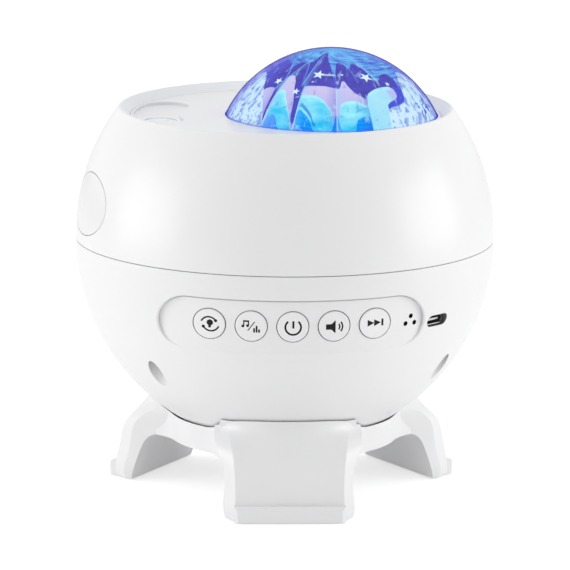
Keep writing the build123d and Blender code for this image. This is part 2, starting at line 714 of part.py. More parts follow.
def light_housing():
    top = DECK_LOW
    outer = LAMP_R_IN + LAMP_WALL
    body = tube(outer, LAMP_R_IN, SINK_TOP, top)
    body += tube(LAMP_FLANGE_R, LAMP_R_IN, top - LAMP_FLANGE_T, top)
    body += tube(SINK_R, LAMP_R_IN, SINK_TOP, SINK_TOP + 2)
    for i in range(6):
        slot = box_between((LAMP_R_IN - 2, -4, SINK_TOP + 5), (outer + 2, 4, SINK_TOP + 8))
        body -= Rot(0, 0, 60 * i + 30) * slot
    return Pos(DOME_X, 0, 0) * body


def heat_sink():
    sink = rod(SINK_R, SINK_TOP - SINK_PLATE, SINK_TOP)
    pitch = 2 * (SINK_R - FIN_T) / FIN_COUNT
    for i in range(FIN_COUNT):
        x = (i - (FIN_COUNT - 1) / 2) * pitch
        half = sqrt(SINK_R**2 - (abs(x) + FIN_T / 2)**2)
        sink += box_between((x - FIN_T / 2, -half, FIN_LOW), (x + FIN_T / 2, half, SINK_TOP - SINK_PLATE))
    sink += rod(BUSH_R + 3, FIN_LOW, SINK_TOP - SINK_PLATE)
    sink -= rod(BUSH_R, FIN_LOW - 1, SINK_TOP + 1)
    return Pos(DOME_X, 0, 0) * sink


def led_board():
    return Pos(DOME_X, 0, 0) * tube(LED_BOARD_R, SPINDLE_R + 1.5, SINK_TOP, SINK_TOP + LED_BOARD_T)


def led_chips():
    low = SINK_TOP + LED_BOARD_T
    parts = []
    for i in range(6):
        chip = box_between((-LED_W / 2, -LED_W / 2, low), (LED_W / 2, LED_W / 2, low + LED_H))
        chip += Pos(0, 0, low + LED_H) * (Sphere(LED_LENS_R) & rod(LED_LENS_R + 1, 0, LED_LENS_R))
        parts.append(Pos(DOME_X, 0, 0) * Rot(0, 0, 60 * i) * Pos(LED_RING_R, 0, 0) * chip)
    return solids(parts)


def spindle_bush():
    return Pos(DOME_X, 0, 0) * tube(BUSH_R, SPINDLE_R + RUN_FIT, FIN_LOW, SINK_TOP)


def spindle():
    return Pos(DOME_X, 0, 0) * rod(SPINDLE_R, GEAR_TOP - GEAR_T - 1, RIPPLE_Z + RIPPLE_T + 1.5)


def ripple_plate():
    """Clear disc whose rings of waves bend the light."""
    top = RIPPLE_Z + RIPPLE_T
    waves = 5
    width = (RIPPLE_R - RIPPLE_HUB_R - 1) / waves
    points = [(SPINDLE_R, RIPPLE_Z), (RIPPLE_R, RIPPLE_Z), (RIPPLE_R, top - 0.5)]
    for i in range(waves):
        outer = RIPPLE_R - width * i
        points.append((outer - width / 2, top + 0.5))
        points.append((outer - width, top - 0.5))
    points += [(RIPPLE_HUB_R, top - 0.5), (RIPPLE_HUB_R, top + 1.5), (SPINDLE_R, top + 1.5)]
    return Pos(DOME_X, 0, 0) * revolved(points)


def drive_gear():
    return Pos(DOME_X, 0, 0) * gear(GEAR_TEETH, SPINDLE_R, GEAR_TOP - GEAR_T, GEAR_TOP, 180)


def motor_place():
    return Pos(DOME_X - GEAR_AXES, 0, 0)


def pinion():
    low = GEAR_TOP - GEAR_T - 0.3
    return motor_place() * gear(PINION_TEETH, SHAFT_R, low, GEAR_TOP, 180 / PINION_TEETH)


def motor_shaft():
    low = GEAR_TOP - GEAR_T - 6
    return motor_place() * rod(SHAFT_R, low, GEAR_TOP + 0.6)


def motor_bracket():
    """Plate under the gear that carries the motor, hung from the heat sink by two legs."""
    top = GEAR_TOP - GEAR_T - BRACKET_GAP
    left, right = BRACKET_ENDS
    half = BRACKET_W / 2
    plate = box_between((left, -half, top - BRACKET_T), (right, half, top))
    for x in (left, right - BRACKET_T):
        plate += box_between((x, -half, top), (x + BRACKET_T, half, FIN_LOW))
    plate -= rod(SPINDLE_R + 2 * BODY_GAP, top - BRACKET_T - 1, top + 1)
    plate -= Pos(-GEAR_AXES, 0, 0) * rod(MOTOR_NOSE_R + FIT, top - BRACKET_T - 1, top + 1)
    return Pos(DOME_X, 0, 0) * plate


def gear_motor():
    top = GEAR_TOP - GEAR_T - BRACKET_GAP - BRACKET_T
    can = extrude(Pos(0, 0, top - MOTOR_LEN) * (Circle(MOTOR_W / 2) & Rectangle(MOTOR_W, MOTOR_D)), MOTOR_LEN)
    can += rod(MOTOR_NOSE_R, top - 1, top + BRACKET_T)
    can -= rod(SHAFT_R + RUN_FIT, top - 5, top + 5)
    return motor_place() * can


# Laser unit

def grating_xy():
    """Axis of the turning grating, further in from the rim than the beam."""
    return on_deck(LASER_ANGLE, LASER_PATH_R - GRATING_OFFSET)


def laser_module():
    top = DECK_LOW - LASER_DROP
    barrel = rod(LASER_R, top - LASER_LEN, top) - rod(LASER_R - 1.2, top - 2, top + 1)
    return Pos(*LASER_XY) * barrel


def laser_mount():
    """Metal block that grips the laser and the small motor, hung from the deck by two posts."""
    top = DECK_LOW - LASER_DROP - MOUNT_DROP
    middle = LASER_PATH_R - GRATING_OFFSET / 2
    length = GRATING_OFFSET + 2 * LASER_R + MOUNT_T
    reach = GRATING_R + MOUNT_POST_R + BODY_GAP
    block = Pos(middle, 0, top - MOUNT_T / 2) * Box(length, MOUNT_W, MOUNT_T)
    block += Pos(middle + MOUNT_POST_SHIFT, 0, top - MOUNT_T / 2) * Box(2 * MOUNT_POST_R, 2 * reach, MOUNT_T)
    post = rod(1.4 * MOUNT_POST_R, top - MOUNT_T, top) + rod(MOUNT_POST_R, top, DECK_LOW)
    for side in (-reach, reach):
        block += Pos(middle + MOUNT_POST_SHIFT, side, 0) * post
    block = Rot(0, 0, LASER_ANGLE) * block
    block -= Pos(*LASER_XY) * rod(LASER_R + RUN_FIT, top - 20, top + 5)
    block -= Pos(*grating_xy()) * rod(GRATING_MOTOR_R + RUN_FIT, top - 20, top + 5)
    return block


def grating_motor():
    top = DECK_LOW - LASER_DROP
    return Pos(*grating_xy()) * (rod(GRATING_MOTOR_R, top - GRATING_MOTOR_LEN, top)
                                  - rod(GRATING_SHAFT_R + RUN_FIT, top - GRATING_SHAFT_LEN, top + 1))


def grating_disc():
    low = DECK_LOW - LASER_DROP + GRATING_RISE
    disc = rod(GRATING_R, low, low + GRATING_T)
    disc += rod(GRATING_BOSS_R, low - GRATING_BOSS_T, low + GRATING_T)
    disc += rod(GRATING_SHAFT_R, low - GRATING_SHAFT_LEN, low)
    return Pos(*grating_xy()) * disc


# Loudspeaker

def speaker_parts():
    """Frame, cone and magnet, each turned about the loudspeaker's axis."""
    front = Plane(origin=(0, SPEAKER_Y, SPEAKER_Z), x_dir=(1, 0, 0), z_dir=(0, -1, 0))

    def funnel(start, end, start_r, end_r):
        """Straight funnel between two depths behind the front face."""
        return loft([front.offset(start) * Circle(start_r), front.offset(end) * Circle(end_r)])

    frame = rod_y(SPEAKER_R, SPEAKER_Y - SPEAKER_FLANGE_T, SPEAKER_Y, 0, SPEAKER_Z)
    frame += funnel(SPEAKER_FLANGE_T, SPEAKER_DEPTH, SPEAKER_R - 2, MAGNET_R)
    frame -= funnel(-0.01, SPEAKER_DEPTH - 1.2, SPEAKER_R - 2.6, MAGNET_R - 2.5)
    cone = funnel(0.3, SPEAKER_DEPTH - 2.0, SPEAKER_R - 3.1, 5.0)
    cone -= funnel(-0.4, SPEAKER_DEPTH - 2.7, SPEAKER_R - 3.1, 5.0)
    back = SPEAKER_Y - SPEAKER_DEPTH
    magnet = rod_y(MAGNET_R, back - MAGNET_T, back, 0, SPEAKER_Z)
    return frame, cone, magnet


# Stand

def leg_section(share, middle, corner, face, side):
    """Plan of a leg at a share of its height: its front bows out between two slanted strips."""
    z = FOOT_Z + PAD_PROUD + (STAND_TOP + 0.4 - FOOT_Z - PAD_PROUD) * share
    back = ARCH_R - 6
    strip = corner - STRIP_DEPTH
    front = ThreePointArc((-face, corner), (0, middle), (face, corner))
    half = [(face, corner), (side, strip), (side, back)]
    rest = Polyline(half + [(-x, y) for x, y in reversed(half)])
    return Pos(0, 0, z) * make_face([front, rest])


def leg():
    """One leg towards +Y: flat above its toe, rounded at its shoulder, and spread into the cup's rim."""
    low_r = TOE_R - TOE_STEP
    face = LEG_LOW_HALF - STRIP_W
    top = LEG_TOP_HALF
    # share of the height, reach of the front at its middle and corners, half width of the face and the leg
    sections = [
        (0, low_r, low_r - 0.1, face, LEG_LOW_HALF),
        (0.25, low_r - 0.3, low_r - 0.6, face, LEG_LOW_HALF + 0.2),
        (0.5, low_r - 1.4, low_r - 2.6, face + 0.2, LEG_LOW_HALF + 0.7),
        (0.73, low_r - 4.2, low_r - 8.2, face + 1.2, top + 1.8),
        (0.88, low_r - 7.0, low_r - 16.0, face + 2.4, top + 1.6),
        (1, LEG_TOP_R + 0.4, LEG_TOP_R - 5.8, top - 1.2, top - 0.4),
    ]
    body = loft([leg_section(*section) for section in sections])
    toe_top = FOOT_Z + TOE_H
    sole = FOOT_Z + PAD_PROUD
    toe = Pos(0, TOE_R - TOE_STEP, (sole + toe_top) / 2) * Box(2 * face + 1, 2 * TOE_STEP, toe_top - sole)
    tip = [e for e in toe.edges() if e.center().Y > TOE_R - 0.1 and e.center().Z > sole + 0.1]
    body += chamfer(tip, TOE_BEVEL)
    arch_middle = ((FOOT_INNER + ARCH_R) / 2 + 2.6, (sole + ARCH_Z) / 2 + 2.9)
    arch = [
        Spline((FOOT_INNER, sole), arch_middle, (ARCH_R, ARCH_Z), tangents=[(-0.35, 1), (-1, 0)]),
        Polyline((ARCH_R, ARCH_Z), (0, ARCH_Z), (0, sole - 1), (FOOT_INNER, sole - 1), (FOOT_INNER, sole)),
    ]
    return body - extrude(make_face([Plane.YZ * edge for edge in arch]), 2 * LEG_TOP_HALF, both=True)


def hub():
    """Hub under the ball, blended into the legs, with its underside rising to the arches."""
    low = -BALL_R - STAND_GAP - HUB_FLOOR
    under = Spline((ARCH_R, ARCH_Z), (ARCH_R * 0.62, low + 1.5), (0, low), tangents=[(-1, 0), (-1, 0)])
    lip = LEG_TOP_R - 3
    rest = Polyline((0, low), (0, STAND_TOP), (LEG_TOP_R, STAND_TOP), (lip, STAND_TOP - 4), (lip, ARCH_Z),
                    (ARCH_R, ARCH_Z))
    bowl = revolve(make_face([Plane.XZ * under, Plane.XZ * rest]), Axis.Z)
    plan = Circle(HUB_R)
    width = 2 * LEG_TOP_HALF
    for turn in LEG_TURNS:
        plan += turn * Pos(0, -TOE_R / 2) * Rectangle(width, TOE_R)
    inside_corners = [v for v in plan.vertices() if hypot(v.X, v.Y) < HUB_R + 1]
    plan = fillet(inside_corners, LEG_BLEND)
    return bowl & extrude(Pos(0, 0, FOOT_Z) * plan, BALL_Z)


def stand_frame():
    stand = hub()
    front_leg = Rot(0, 0, 180) * leg()
    for turn in LEG_TURNS:
        stand += turn * front_leg
    stand -= Sphere(BALL_R + STAND_GAP)
    stand -= ring_band(RING_CLEAR, RING_W / 2 + FIT, RING_T)
    for turn in LEG_TURNS:
        stand -= turn * foot_pad()
    return stand


def ring_band(clear, half_width, thickness):
    """Band on the cup, from just behind the ball outwards."""
    middle = asin(RING_R / BALL_R)
    half = half_width / BALL_R
    near = BALL_R + clear
    far = near + thickness
    corners = [(near, middle - half), (near, middle + half), (far, middle + half), (far, middle - half)]
    return revolved([(r * sin(a), -r * cos(a)) for r, a in corners])


def seat_ring():
    return ring_band(RING_CLEAR, RING_W / 2, RING_T - FIT)


def foot_pad():
    middle = (FOOT_INNER + TOE_R) / 2
    pad = Rectangle(PAD_W, PAD_D)
    pad = fillet(pad.vertices(), PAD_CORNER)
    return extrude(Pos(0, -middle, FOOT_Z) * pad, PAD_T)


def foot_pads():
    return solids([turn * foot_pad() for turn in LEG_TURNS])


# Writing

usb_shell, usb_board = usb_parts()
speaker_frame, speaker_cone, speaker_magnet = speaker_parts()

NODES = {
    "stand_frame": stand_frame(),
    "foot_pads": foot_pads(),
    "seat_ring": seat_ring(),
    "lower_shell": lower_shell(),
    "upper_shell": upper_shell(),
    "side_badge": side_badge(),
    "shell_screws": shell_screws(),
    "deck_plate": deck_plate(),
    "dome_lens": dome_lens(),
    "star_mask": star_mask(),
    "laser_bezel": laser_bezel(),
    "laser_window": laser_window(),
    "button_guide": button_guide(),
    "main_board": main_board(),
    "board_chips": board_chips(),
    "key_switches": key_switches(),
    "board_screws": board_screws(),
    "usb_socket": usb_shell,
    "usb_board": usb_board,
    "microphone": microphone(),
    "status_lights": status_lights(),
    "light_housing": light_housing(),
    "heat_sink": heat_sink(),
    "led_board": led_board(),
    "led_chips": led_chips(),
    "spindle_bush": spindle_bush(),
    "spindle": spindle(),
    "ripple_plate": ripple_plate(),
    "drive_gear": drive_gear(),
    "pinion": pinion(),
    "motor_shaft": motor_shaft(),
    "motor_bracket": motor_bracket(),
    "gear_motor": gear_motor(),
    "laser_module": laser_module(),
    "laser_mount": laser_mount(),
    "grating_motor": grating_motor(),
    "grating_disc": grating_disc(),
    "speaker_frame": speaker_frame,
    "speaker_cone": speaker_cone,
    "speaker_magnet": speaker_magnet,
}
for name, x in zip(BUTTON_NAMES, BUTTON_X):
    NODES["button_" + name] = button(x)

os.makedirs("parts", exist_ok=True)
for name, shape in NODES.items():
    export_step(Pos(0, 0, BALL_Z) * shape, f"parts/{name}.step")
    print(name, round(shape.volume, 1))
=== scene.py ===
# %% [markdown]
# # A northern lights projector on its three-legged stand
#
# The lamp is a white moulded ball, 150 mm across, that turns and tilts in the cup of a low stand. A
# clear dome with cut facets stands in the sunken deck on top, and five round keys sit in a shallow
# panel at the front. This lesson dresses the finished construction of the lamp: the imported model
# gives every piece its place and size, and the cells below give the pieces their real surfaces.
#
# The construction comes first, because everything else is measured from it. Its pieces stay where
# they are. We only give them materials, or put a finer surface in their place.

# %% Load the frame
import json
from math import cos, pi, radians, sin, sqrt

import bmesh
import bpy
import numpy as np
from mathutils import Matrix, Vector


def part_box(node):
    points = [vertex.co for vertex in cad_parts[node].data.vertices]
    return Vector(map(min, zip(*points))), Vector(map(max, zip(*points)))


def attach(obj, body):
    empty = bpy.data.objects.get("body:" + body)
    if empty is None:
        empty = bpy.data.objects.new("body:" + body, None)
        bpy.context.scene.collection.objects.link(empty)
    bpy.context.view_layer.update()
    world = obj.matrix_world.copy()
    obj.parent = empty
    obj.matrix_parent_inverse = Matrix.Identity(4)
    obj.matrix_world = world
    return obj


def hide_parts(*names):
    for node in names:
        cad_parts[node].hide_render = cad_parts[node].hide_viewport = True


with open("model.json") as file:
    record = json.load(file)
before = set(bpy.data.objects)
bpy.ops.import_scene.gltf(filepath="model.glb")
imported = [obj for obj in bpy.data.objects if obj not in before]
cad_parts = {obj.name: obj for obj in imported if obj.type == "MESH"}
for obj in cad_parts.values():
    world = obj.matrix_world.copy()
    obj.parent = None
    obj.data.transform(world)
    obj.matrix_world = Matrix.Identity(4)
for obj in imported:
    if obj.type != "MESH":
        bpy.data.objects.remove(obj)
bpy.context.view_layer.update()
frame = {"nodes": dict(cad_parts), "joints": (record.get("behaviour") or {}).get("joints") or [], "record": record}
nodes = frame["nodes"]

# %% [markdown]
# ## Measures
#
# Blender works in metres, but a lamp of this size is easier to think about in millimetres, measured
# from the middle of the ball. So the shapes below are worked out in millimetres there, and one
# function turns them into metres above the table when a mesh is made. The main sizes are read from
# the frame's boxes, so they follow the construction if it changes.

# %% Sizes read from the frame
MM = 0.001
tilt = next(joint for joint in frame["joints"] if joint["name"] == "ball_tilt")
BALL_Z = tilt["pos_m"][2] / MM


def node_box(node):
    """Lowest and highest corner of a node in millimetres, measured from the middle of the ball."""
    low, high = (np.array(corner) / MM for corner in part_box(node))
    return low - [0, 0, BALL_Z], high - [0, 0, BALL_Z]


deck_high = node_box("deck_plate")[1]
dome_low, dome_high = node_box("dome_lens")
DECK_Z = deck_high[2]
DOME_X = (dome_high[0] + dome_low[0]) / 2
DOME_R = (dome_high[0] - dome_low[0]) / 2
DOME_TOP = dome_high[2]
DOME_H = DOME_TOP - DECK_Z
print(f"deck at {DECK_Z:.1f}, dome of radius {DOME_R:.1f}, {DOME_H:.1f} tall, {DOME_X:.1f} to the right")

# %% [markdown]
# ## Shader maths in plain Python
#
# A procedural finish is arithmetic on coordinates. Wiring that arithmetic by hand hides the idea, so
# one small class wraps a socket and lets Python's own operators add the Math nodes. `1 - mask` or
# `abs(x) - 0.2` then reads like the formula it is.

# %% A socket that can be calculated with
class Value:
    """An output socket of a node. Each operator adds its Math nodes and returns their output."""

    def __init__(self, sheet, socket):
        self.sheet = sheet
        self.socket = socket

    def math(self, operation, *others):
        """The output of a new Math node that starts from this value."""
        inputs = dict(enumerate((self, *others)))
        return self.sheet.add("ShaderNodeMath", {"operation": operation}, inputs)

    def __add__(self, other):
        return self.math("ADD", other)

    def __sub__(self, other):
        return self.math("SUBTRACT", other)

    def __mul__(self, other):
        return self.math("MULTIPLY", other)

    def __truediv__(self, other):
        return self.math("DIVIDE", other)

    def __pow__(self, other):
        return self.math("POWER", other)

    def __neg__(self):
        return self.math("MULTIPLY", -1.0)

    def __abs__(self):
        return self.math("ABSOLUTE")

    def __radd__(self, other):
        return self.math("ADD", other)

    def __rmul__(self, other):
        return self.math("MULTIPLY", other)

    def __rsub__(self, other):
        return self.sheet.number(other).math("SUBTRACT", self)

    def smaller(self, other):
        return self.math("MINIMUM", other)

    def larger(self, other):
        return self.math("MAXIMUM", other)

    def clamp(self):
        """This value, kept between 0 and 1."""
        return self.larger(0.0).smaller(1.0)

    def below(self, edge, soft):
        """1 where this value lies below edge, falling to 0 over a soft step."""
        return ((edge - self) / soft + 0.5).clamp()

    def above(self, edge, soft):
        """1 where this value lies above edge."""
        return ((self - edge) / soft + 0.5).clamp()

    def near(self, middle, half, soft):
        """1 where this value lies within half of its middle."""
        return abs(self - middle).below(half, soft)


# %% A material as a sheet of nodes
class Sheet:
    """The nodes of a new material or world. Every node comes from add(), also those of the maths."""

    def __init__(self, name, shelf="materials", shader="Principled BSDF"):
        """shelf is the list in Blender's data that the owner goes into, materials or worlds."""
        self.owner = getattr(bpy.data, shelf).new(name)
        self.owner.use_nodes = True
        self.tree = self.owner.node_tree
        self.shader = self.tree.nodes[shader]

    def add(self, kind, settings=None, inputs=None, out=0):
        """Add a node: its settings first, then values or links for its sockets."""
        node = self.tree.nodes.new(kind)
        for key, setting in (settings or {}).items():
            setattr(node, key, setting)
        for key, value in (inputs or {}).items():
            self.feed(node.inputs[key], value)
        return Value(self, node.outputs[out])

    def feed(self, socket, value):
        """Link a Value to a socket, or set the socket's own number or colour."""
        if isinstance(value, Value):
            self.tree.links.new(value.socket, socket)
        elif isinstance(value, (tuple, list)) and len(socket.default_value) == 4:
            socket.default_value = (*value[:3], 1.0)
        else:
            socket.default_value = value

    def number(self, value):
        """A plain number as a Value."""
        return self.add("ShaderNodeMath", {"operation": "ADD"}, {0: value, 1: 0.0})

    def place(self):
        """Object coordinates in millimetres from the middle of the ball."""
        spot = self.add("ShaderNodeTexCoord", out="Object")
        middle = (0, 0, BALL_Z * MM)
        spot = self.add("ShaderNodeVectorMath", {"operation": "SUBTRACT"}, {0: spot, 1: middle})
        return self.add("ShaderNodeVectorMath", {"operation": "SCALE"}, {0: spot, "Scale": 1 / MM})

    def split(self, vector):
        """The three coordinates of a vector, as a list."""
        return [self.add("ShaderNodeSeparateXYZ", inputs={0: vector}, out=i) for i in range(3)]

    def join(self, x, y, z):
        """A vector from three coordinates."""
        return self.add("ShaderNodeCombineXYZ", inputs={0: x, 1: y, 2: z})

    def noise(self, vector, scale, detail=2.0, roughness=0.5):
        """Cloudy noise from 0 to 1. detail adds finer octaves, and roughness says how strong they are."""
        settings = {"Vector": vector, "Scale": scale, "Detail": detail, "Roughness": roughness}
        return self.add("ShaderNodeTexNoise", inputs=settings)

    def mix(self, first, second, share):
        """A colour between two colours."""
        return self.add("ShaderNodeMix", {"data_type": "RGBA"}, {0: share, 6: first, 7: second}, out=2)

    def curve(self, value, points):
        """A drawn line through points (x, y), both from 0 to 1: y at this x."""
        drawn = self.add("ShaderNodeFloatCurve", inputs={"Value": value})
        line = drawn.socket.node.mapping
        stops = line.curves[0].points
        for x, y in points[1:-1]:
            stops.new(x, y)
        stops[0].location, stops[-1].location = points[0], points[-1]
        for stop in stops:
            stop.handle_type = "AUTO_CLAMPED"
        line.update()
        return drawn

    def bump(self, height, distance):
        """A Bump node. distance is the height in millimetres that a value of 1 stands for."""
        settings = {"Height": height, "Distance": distance * MM, "Strength": 1.0}
        return self.add("ShaderNodeBump", inputs=settings)

    def finish(self, **sockets):
        """Set the shader's sockets by name, with _ for a space, and return the material."""
        for key, value in sockets.items():
            self.feed(self.shader.inputs[key.replace("_", " ")], value)
        return self.owner


# %% [markdown]
# ## The moulded white plastic
#
# The ball and the stand are white ABS with a fine satin skin. On the real parts the colour is even,
# but it is never quite flat: the skin has a very fine orange-peel, and its gloss varies a little
# where the mould was polished. A flat colour would look like paper, so both are drawn with noise.

# %% White plastic and its relatives
SHELL_WHITE = (0.83, 0.832, 0.84)
SHELL_GLOSS = 0.30


def moulded(name, colour, roughness, peel=0.012, peel_size=0.9, mottle=0.012, marks=None):
    """Moulded plastic: colour and gloss vary slowly, and the skin has a fine peel, all from noise.

    marks(sheet, spot, colour) may draw on the colour before it is used."""
    sheet = Sheet(name)
    spot = sheet.place()
    slow = sheet.noise(spot, 0.045, 3.0)
    fine = sheet.noise(spot, peel_size, 2.0)
    low = tuple(c * (1 - mottle) for c in colour)
    high = tuple(min(1.0, c * (1 + mottle)) for c in colour)
    skin_colour = sheet.mix(low, high, slow)
    if marks:
        skin_colour = marks(sheet, spot, skin_colour)
    return sheet.finish(Base_Color=skin_colour, Roughness=roughness - 0.04 + slow * 0.08,
                        Normal=sheet.bump(fine, peel), IOR=1.5)


WHITE = moulded("white_shell", SHELL_WHITE, SHELL_GLOSS)
print("materials:", [m.name for m in bpy.data.materials])

# %% [markdown]
# ## A finish for every piece of the construction
#
# Most of the construction is already exactly right in shape, so it only needs its finish. The white
# parts come first, because they are what the eye sees: the lower shell carries painted shade, and the
# deck painted light.
#
# On the real lamp the three small holes, the inlet and the screw wells look dark, because little light
# gets out of them again. Their walls are white in the construction, so a render shows them too bright.
# We paint that shade onto those walls only, with masks worked out from the outlines of the holes, and
# colour the light pipes and the microphone in the small holes near black, as painted shade. A fine
# line of painted shadow lies under the top edge of the panel, and the deck gets painted violet light
# from the dome round its foot.

# %% Where the painted shade goes, in millimetres and degrees from the front
PANEL_Z = -18.4          # height of the row of keys
PANEL_HALF = 36.5        # half the straight part of the panel's outline
PANEL_ROUND = 9.7        # radius of its ends
HOLES = [(36.0, -17.3), (34.4, -19.9), (37.6, -19.9)]      # azimuth and height
HOLE_R = 0.8
INLET_TURN, INLET_Z = 45.7, -20.3
INLET_HALF, INLET_ROUND = 3.1, 2.1
WELLS = [-48.0, 60.0, 132.0, 240.0]      # azimuths of the upright screw wells
WELL_PLAN, WELL_R = 62.4, 3.2            # their distance from the middle, and their radius


def out_of_slot(u, v, half=0.0, radius=1.0):
    """Distance outside a slot whose two round ends lie half to the left and right of its middle."""
    past = (abs(u) - half).larger(0.0)
    return (past ** 2.0 + v ** 2.0).math("SQRT") - radius


def sideways(x, y, turn):
    """Distance along the shell from the upright plane at an azimuth."""
    return x * cos(radians(turn)) + y * sin(radians(turn))


# %% Painted shade on the lower shell, and painted light on the deck
# Colours of painted shade under the panel's top edge and on the walls of the holes, the wells and the inlet, then
# the dome's painted light on the deck.
PANEL_SHADOW = (0.26, 0.26, 0.265)
HOLE_DARK = (0.004, 0.004, 0.005)
WELL_SHADE = (0.72, 0.72, 0.725)
INLET_SHADE = (0.18, 0.18, 0.185)
DOME_PAINTED_GLOW = (0.86, 0.72, 0.86)


def shell_painted_shade(sheet, spot, colour):
    """Painted shade: the shadow line under the panel's top edge, and the walls of the holes, the wells and the
    inlet.
    """
    x, y, z = sheet.split(spot)
    front = y.below(0.0, 0.1)
    line = abs(out_of_slot(x, z - PANEL_Z, PANEL_HALF, PANEL_ROUND) + 0.4).below(0.33, 0.2)
    upper = z.above(PANEL_Z + 7.0, 5.0)
    colour = sheet.mix(colour, PANEL_SHADOW, line * front * upper * 0.8)
    for turn, height in HOLES:
        hole = out_of_slot(sideways(x, y, turn), z - height, radius=HOLE_R).below(0.08, 0.06)
        colour = sheet.mix(colour, HOLE_DARK, hole * front)
    for turn in WELLS:
        a = radians(turn)
        plan = out_of_slot(x - WELL_PLAN * sin(a), y + WELL_PLAN * cos(a), radius=WELL_R)
        colour = sheet.mix(colour, WELL_SHADE, plan.below(0.08, 0.06))
    inlet = out_of_slot(sideways(x, y, INLET_TURN), z - INLET_Z, INLET_HALF, INLET_ROUND)
    return sheet.mix(colour, INLET_SHADE, inlet.below(0.03, 0.06) * front)


def deck_painted_glow(sheet, spot, colour):
    """Painted violet light from the dome, fading out a few millimetres from its foot."""
    x, y, z = sheet.split(spot)
    reach = ((x - DOME_X) ** 2.0 + y ** 2.0).math("SQRT")
    return sheet.mix(colour, DOME_PAINTED_GLOW, reach.below(DOME_R + 2.5, 7.0) * 0.5)


SHELL_FINISHES = {
    "lower_shell": moulded("white_lower_shell", SHELL_WHITE, SHELL_GLOSS, marks=shell_painted_shade),
    "deck_plate": moulded("white_deck", SHELL_WHITE, SHELL_GLOSS, marks=deck_painted_glow),
}
print("marked shells:", list(SHELL_FINISHES))

# %% [markdown]
# ## Metal, lacquer, paper and clear plastic
#
# The inner pieces are only seen when someone takes the lamp apart, but each is still given what it is
# made of. Drawn metal has fine lines along one direction, turned metal has rings, and the boards show
# their tracks through the lacquer.

# %% Drawn and turned metal
def metal(name, colour, roughness):
    """Metal with fine drawn lines: noise that is dense across y and long along x and z."""
    sheet = Sheet(name)
    x, y, z = sheet.split(sheet.place())
    lines = sheet.noise(sheet.join(x * 0.02, y * 0.9, z * 0.02), 6.0, 3.0)
    dark = tuple(c * 0.93 for c in colour)
    return sheet.finish(Base_Color=sheet.mix(dark, colour, lines), Metallic=1.0,
                        Roughness=roughness - 0.06 + lines * 0.12, Normal=sheet.bump(lines, 0.004))


def turned(name, colour, roughness):
    """Turned metal: rings round the vertical axis, from a wave of height."""
    sheet = Sheet(name)
    height = sheet.split(sheet.place())[2]
    rings = (height * 9.0).math("SINE") * 0.5 + 0.5
    dark = tuple(c * 0.9 for c in colour)
    return sheet.finish(Base_Color=sheet.mix(dark, colour, rings), Metallic=1.0,
                        Roughness=roughness + rings * 0.05, Normal=sheet.bump(rings, 0.01))


# %% Lacquer and clear plastic
def lacquered_board(name, lacquer, copper):
    """Circuit board: straight tracks show through the lacquer as slightly lighter, raised lines."""
    sheet = Sheet(name)
    cells = sheet.add("ShaderNodeTexVoronoi", {"distance": "CHEBYCHEV", "feature": "F2"},
                      {"Vector": sheet.place(), "Scale": 0.35}, out="Distance")
    track = (cells * 9.0).math("SINE").above(0.6, 0.2)
    return sheet.finish(Base_Color=sheet.mix(lacquer, copper, track), Roughness=0.35 + track * 0.1,
                        Normal=sheet.bump(track, 0.03))


def clear(name, tint, alpha=0.35):
    """Clear plastic, drawn as a thin glossy film whose gloss varies a little."""
    sheet = Sheet(name)
    slow = sheet.noise(sheet.place(), 0.3)
    sheet.owner.surface_render_method = "BLENDED"
    return sheet.finish(Base_Color=sheet.mix(tint, (1, 1, 1), slow), Roughness=0.05 + slow * 0.05,
                        Alpha=alpha, IOR=1.49)


# %% The finishes by name
FINISHES = {
    "white_shell": WHITE,
    "badge_white": moulded("badge_white", (0.80, 0.80, 0.81), 0.16, peel=0.004),
    "button_white": moulded("button_white", (0.82, 0.82, 0.83), 0.26, peel=0.006),
    "soft_grey": moulded("soft_grey", (0.42, 0.42, 0.43), 0.75, peel=0.03, peel_size=2.0),
    # The bezel's light bluish white is partly a painted reflection of the white surroundings on the polished ring.
    "bezel_dark": moulded("bezel_dark", (0.82, 0.87, 0.92), 0.06, peel=0.001),
    "inner_plastic": moulded("inner_plastic", (0.62, 0.62, 0.62), 0.5),
    "chip_black": moulded("chip_black", (0.03, 0.03, 0.032), 0.45, peel=0.02, peel_size=6.0),
    "gear_plastic": moulded("gear_plastic", (0.85, 0.83, 0.77), 0.4),
    "star_mask": moulded("star_mask", (0.10, 0.06, 0.40), 0.4),
    "magnet": moulded("magnet", (0.09, 0.09, 0.09), 0.6, peel=0.03),
    "cone_paper": moulded("cone_paper", (0.07, 0.07, 0.07), 0.9, 0.08, 3.0, mottle=0.2),
    "speaker_black": moulded("speaker_black", (0.03, 0.03, 0.03), 0.35, peel=0.02),
    "led_board": moulded("led_board", (0.85, 0.85, 0.84), 0.4),
    "circuit_board": lacquered_board("circuit_board", (0.01, 0.12, 0.05), (0.04, 0.28, 0.12)),
    "steel": metal("steel", (0.56, 0.56, 0.57), 0.3),
    "aluminium": metal("aluminium", (0.75, 0.76, 0.78), 0.38),
    "brass": turned("brass", (0.72, 0.55, 0.26), 0.25),
    "clear_dome": clear("clear_dome", (0.85, 0.9, 1.0)),
    "clear_window": clear("clear_window", (0.90, 0.97, 1.0), alpha=0.9),
    "clear_disc": clear("clear_disc", (0.9, 0.95, 1.0)),
    # The light pipes are near black: painted shade for the three small holes they sit in.
    "light_pipe": moulded("light_pipe", (0.006, 0.006, 0.008), 0.3, peel=0.004),
    "mesh_black": moulded("mesh_black", (0.006, 0.006, 0.006), 0.8, peel=0.05, peel_size=8.0),
    "led_lens": clear("led_lens", (1.0, 0.95, 0.7), alpha=0.8),
}
print("finishes:", len(FINISHES))

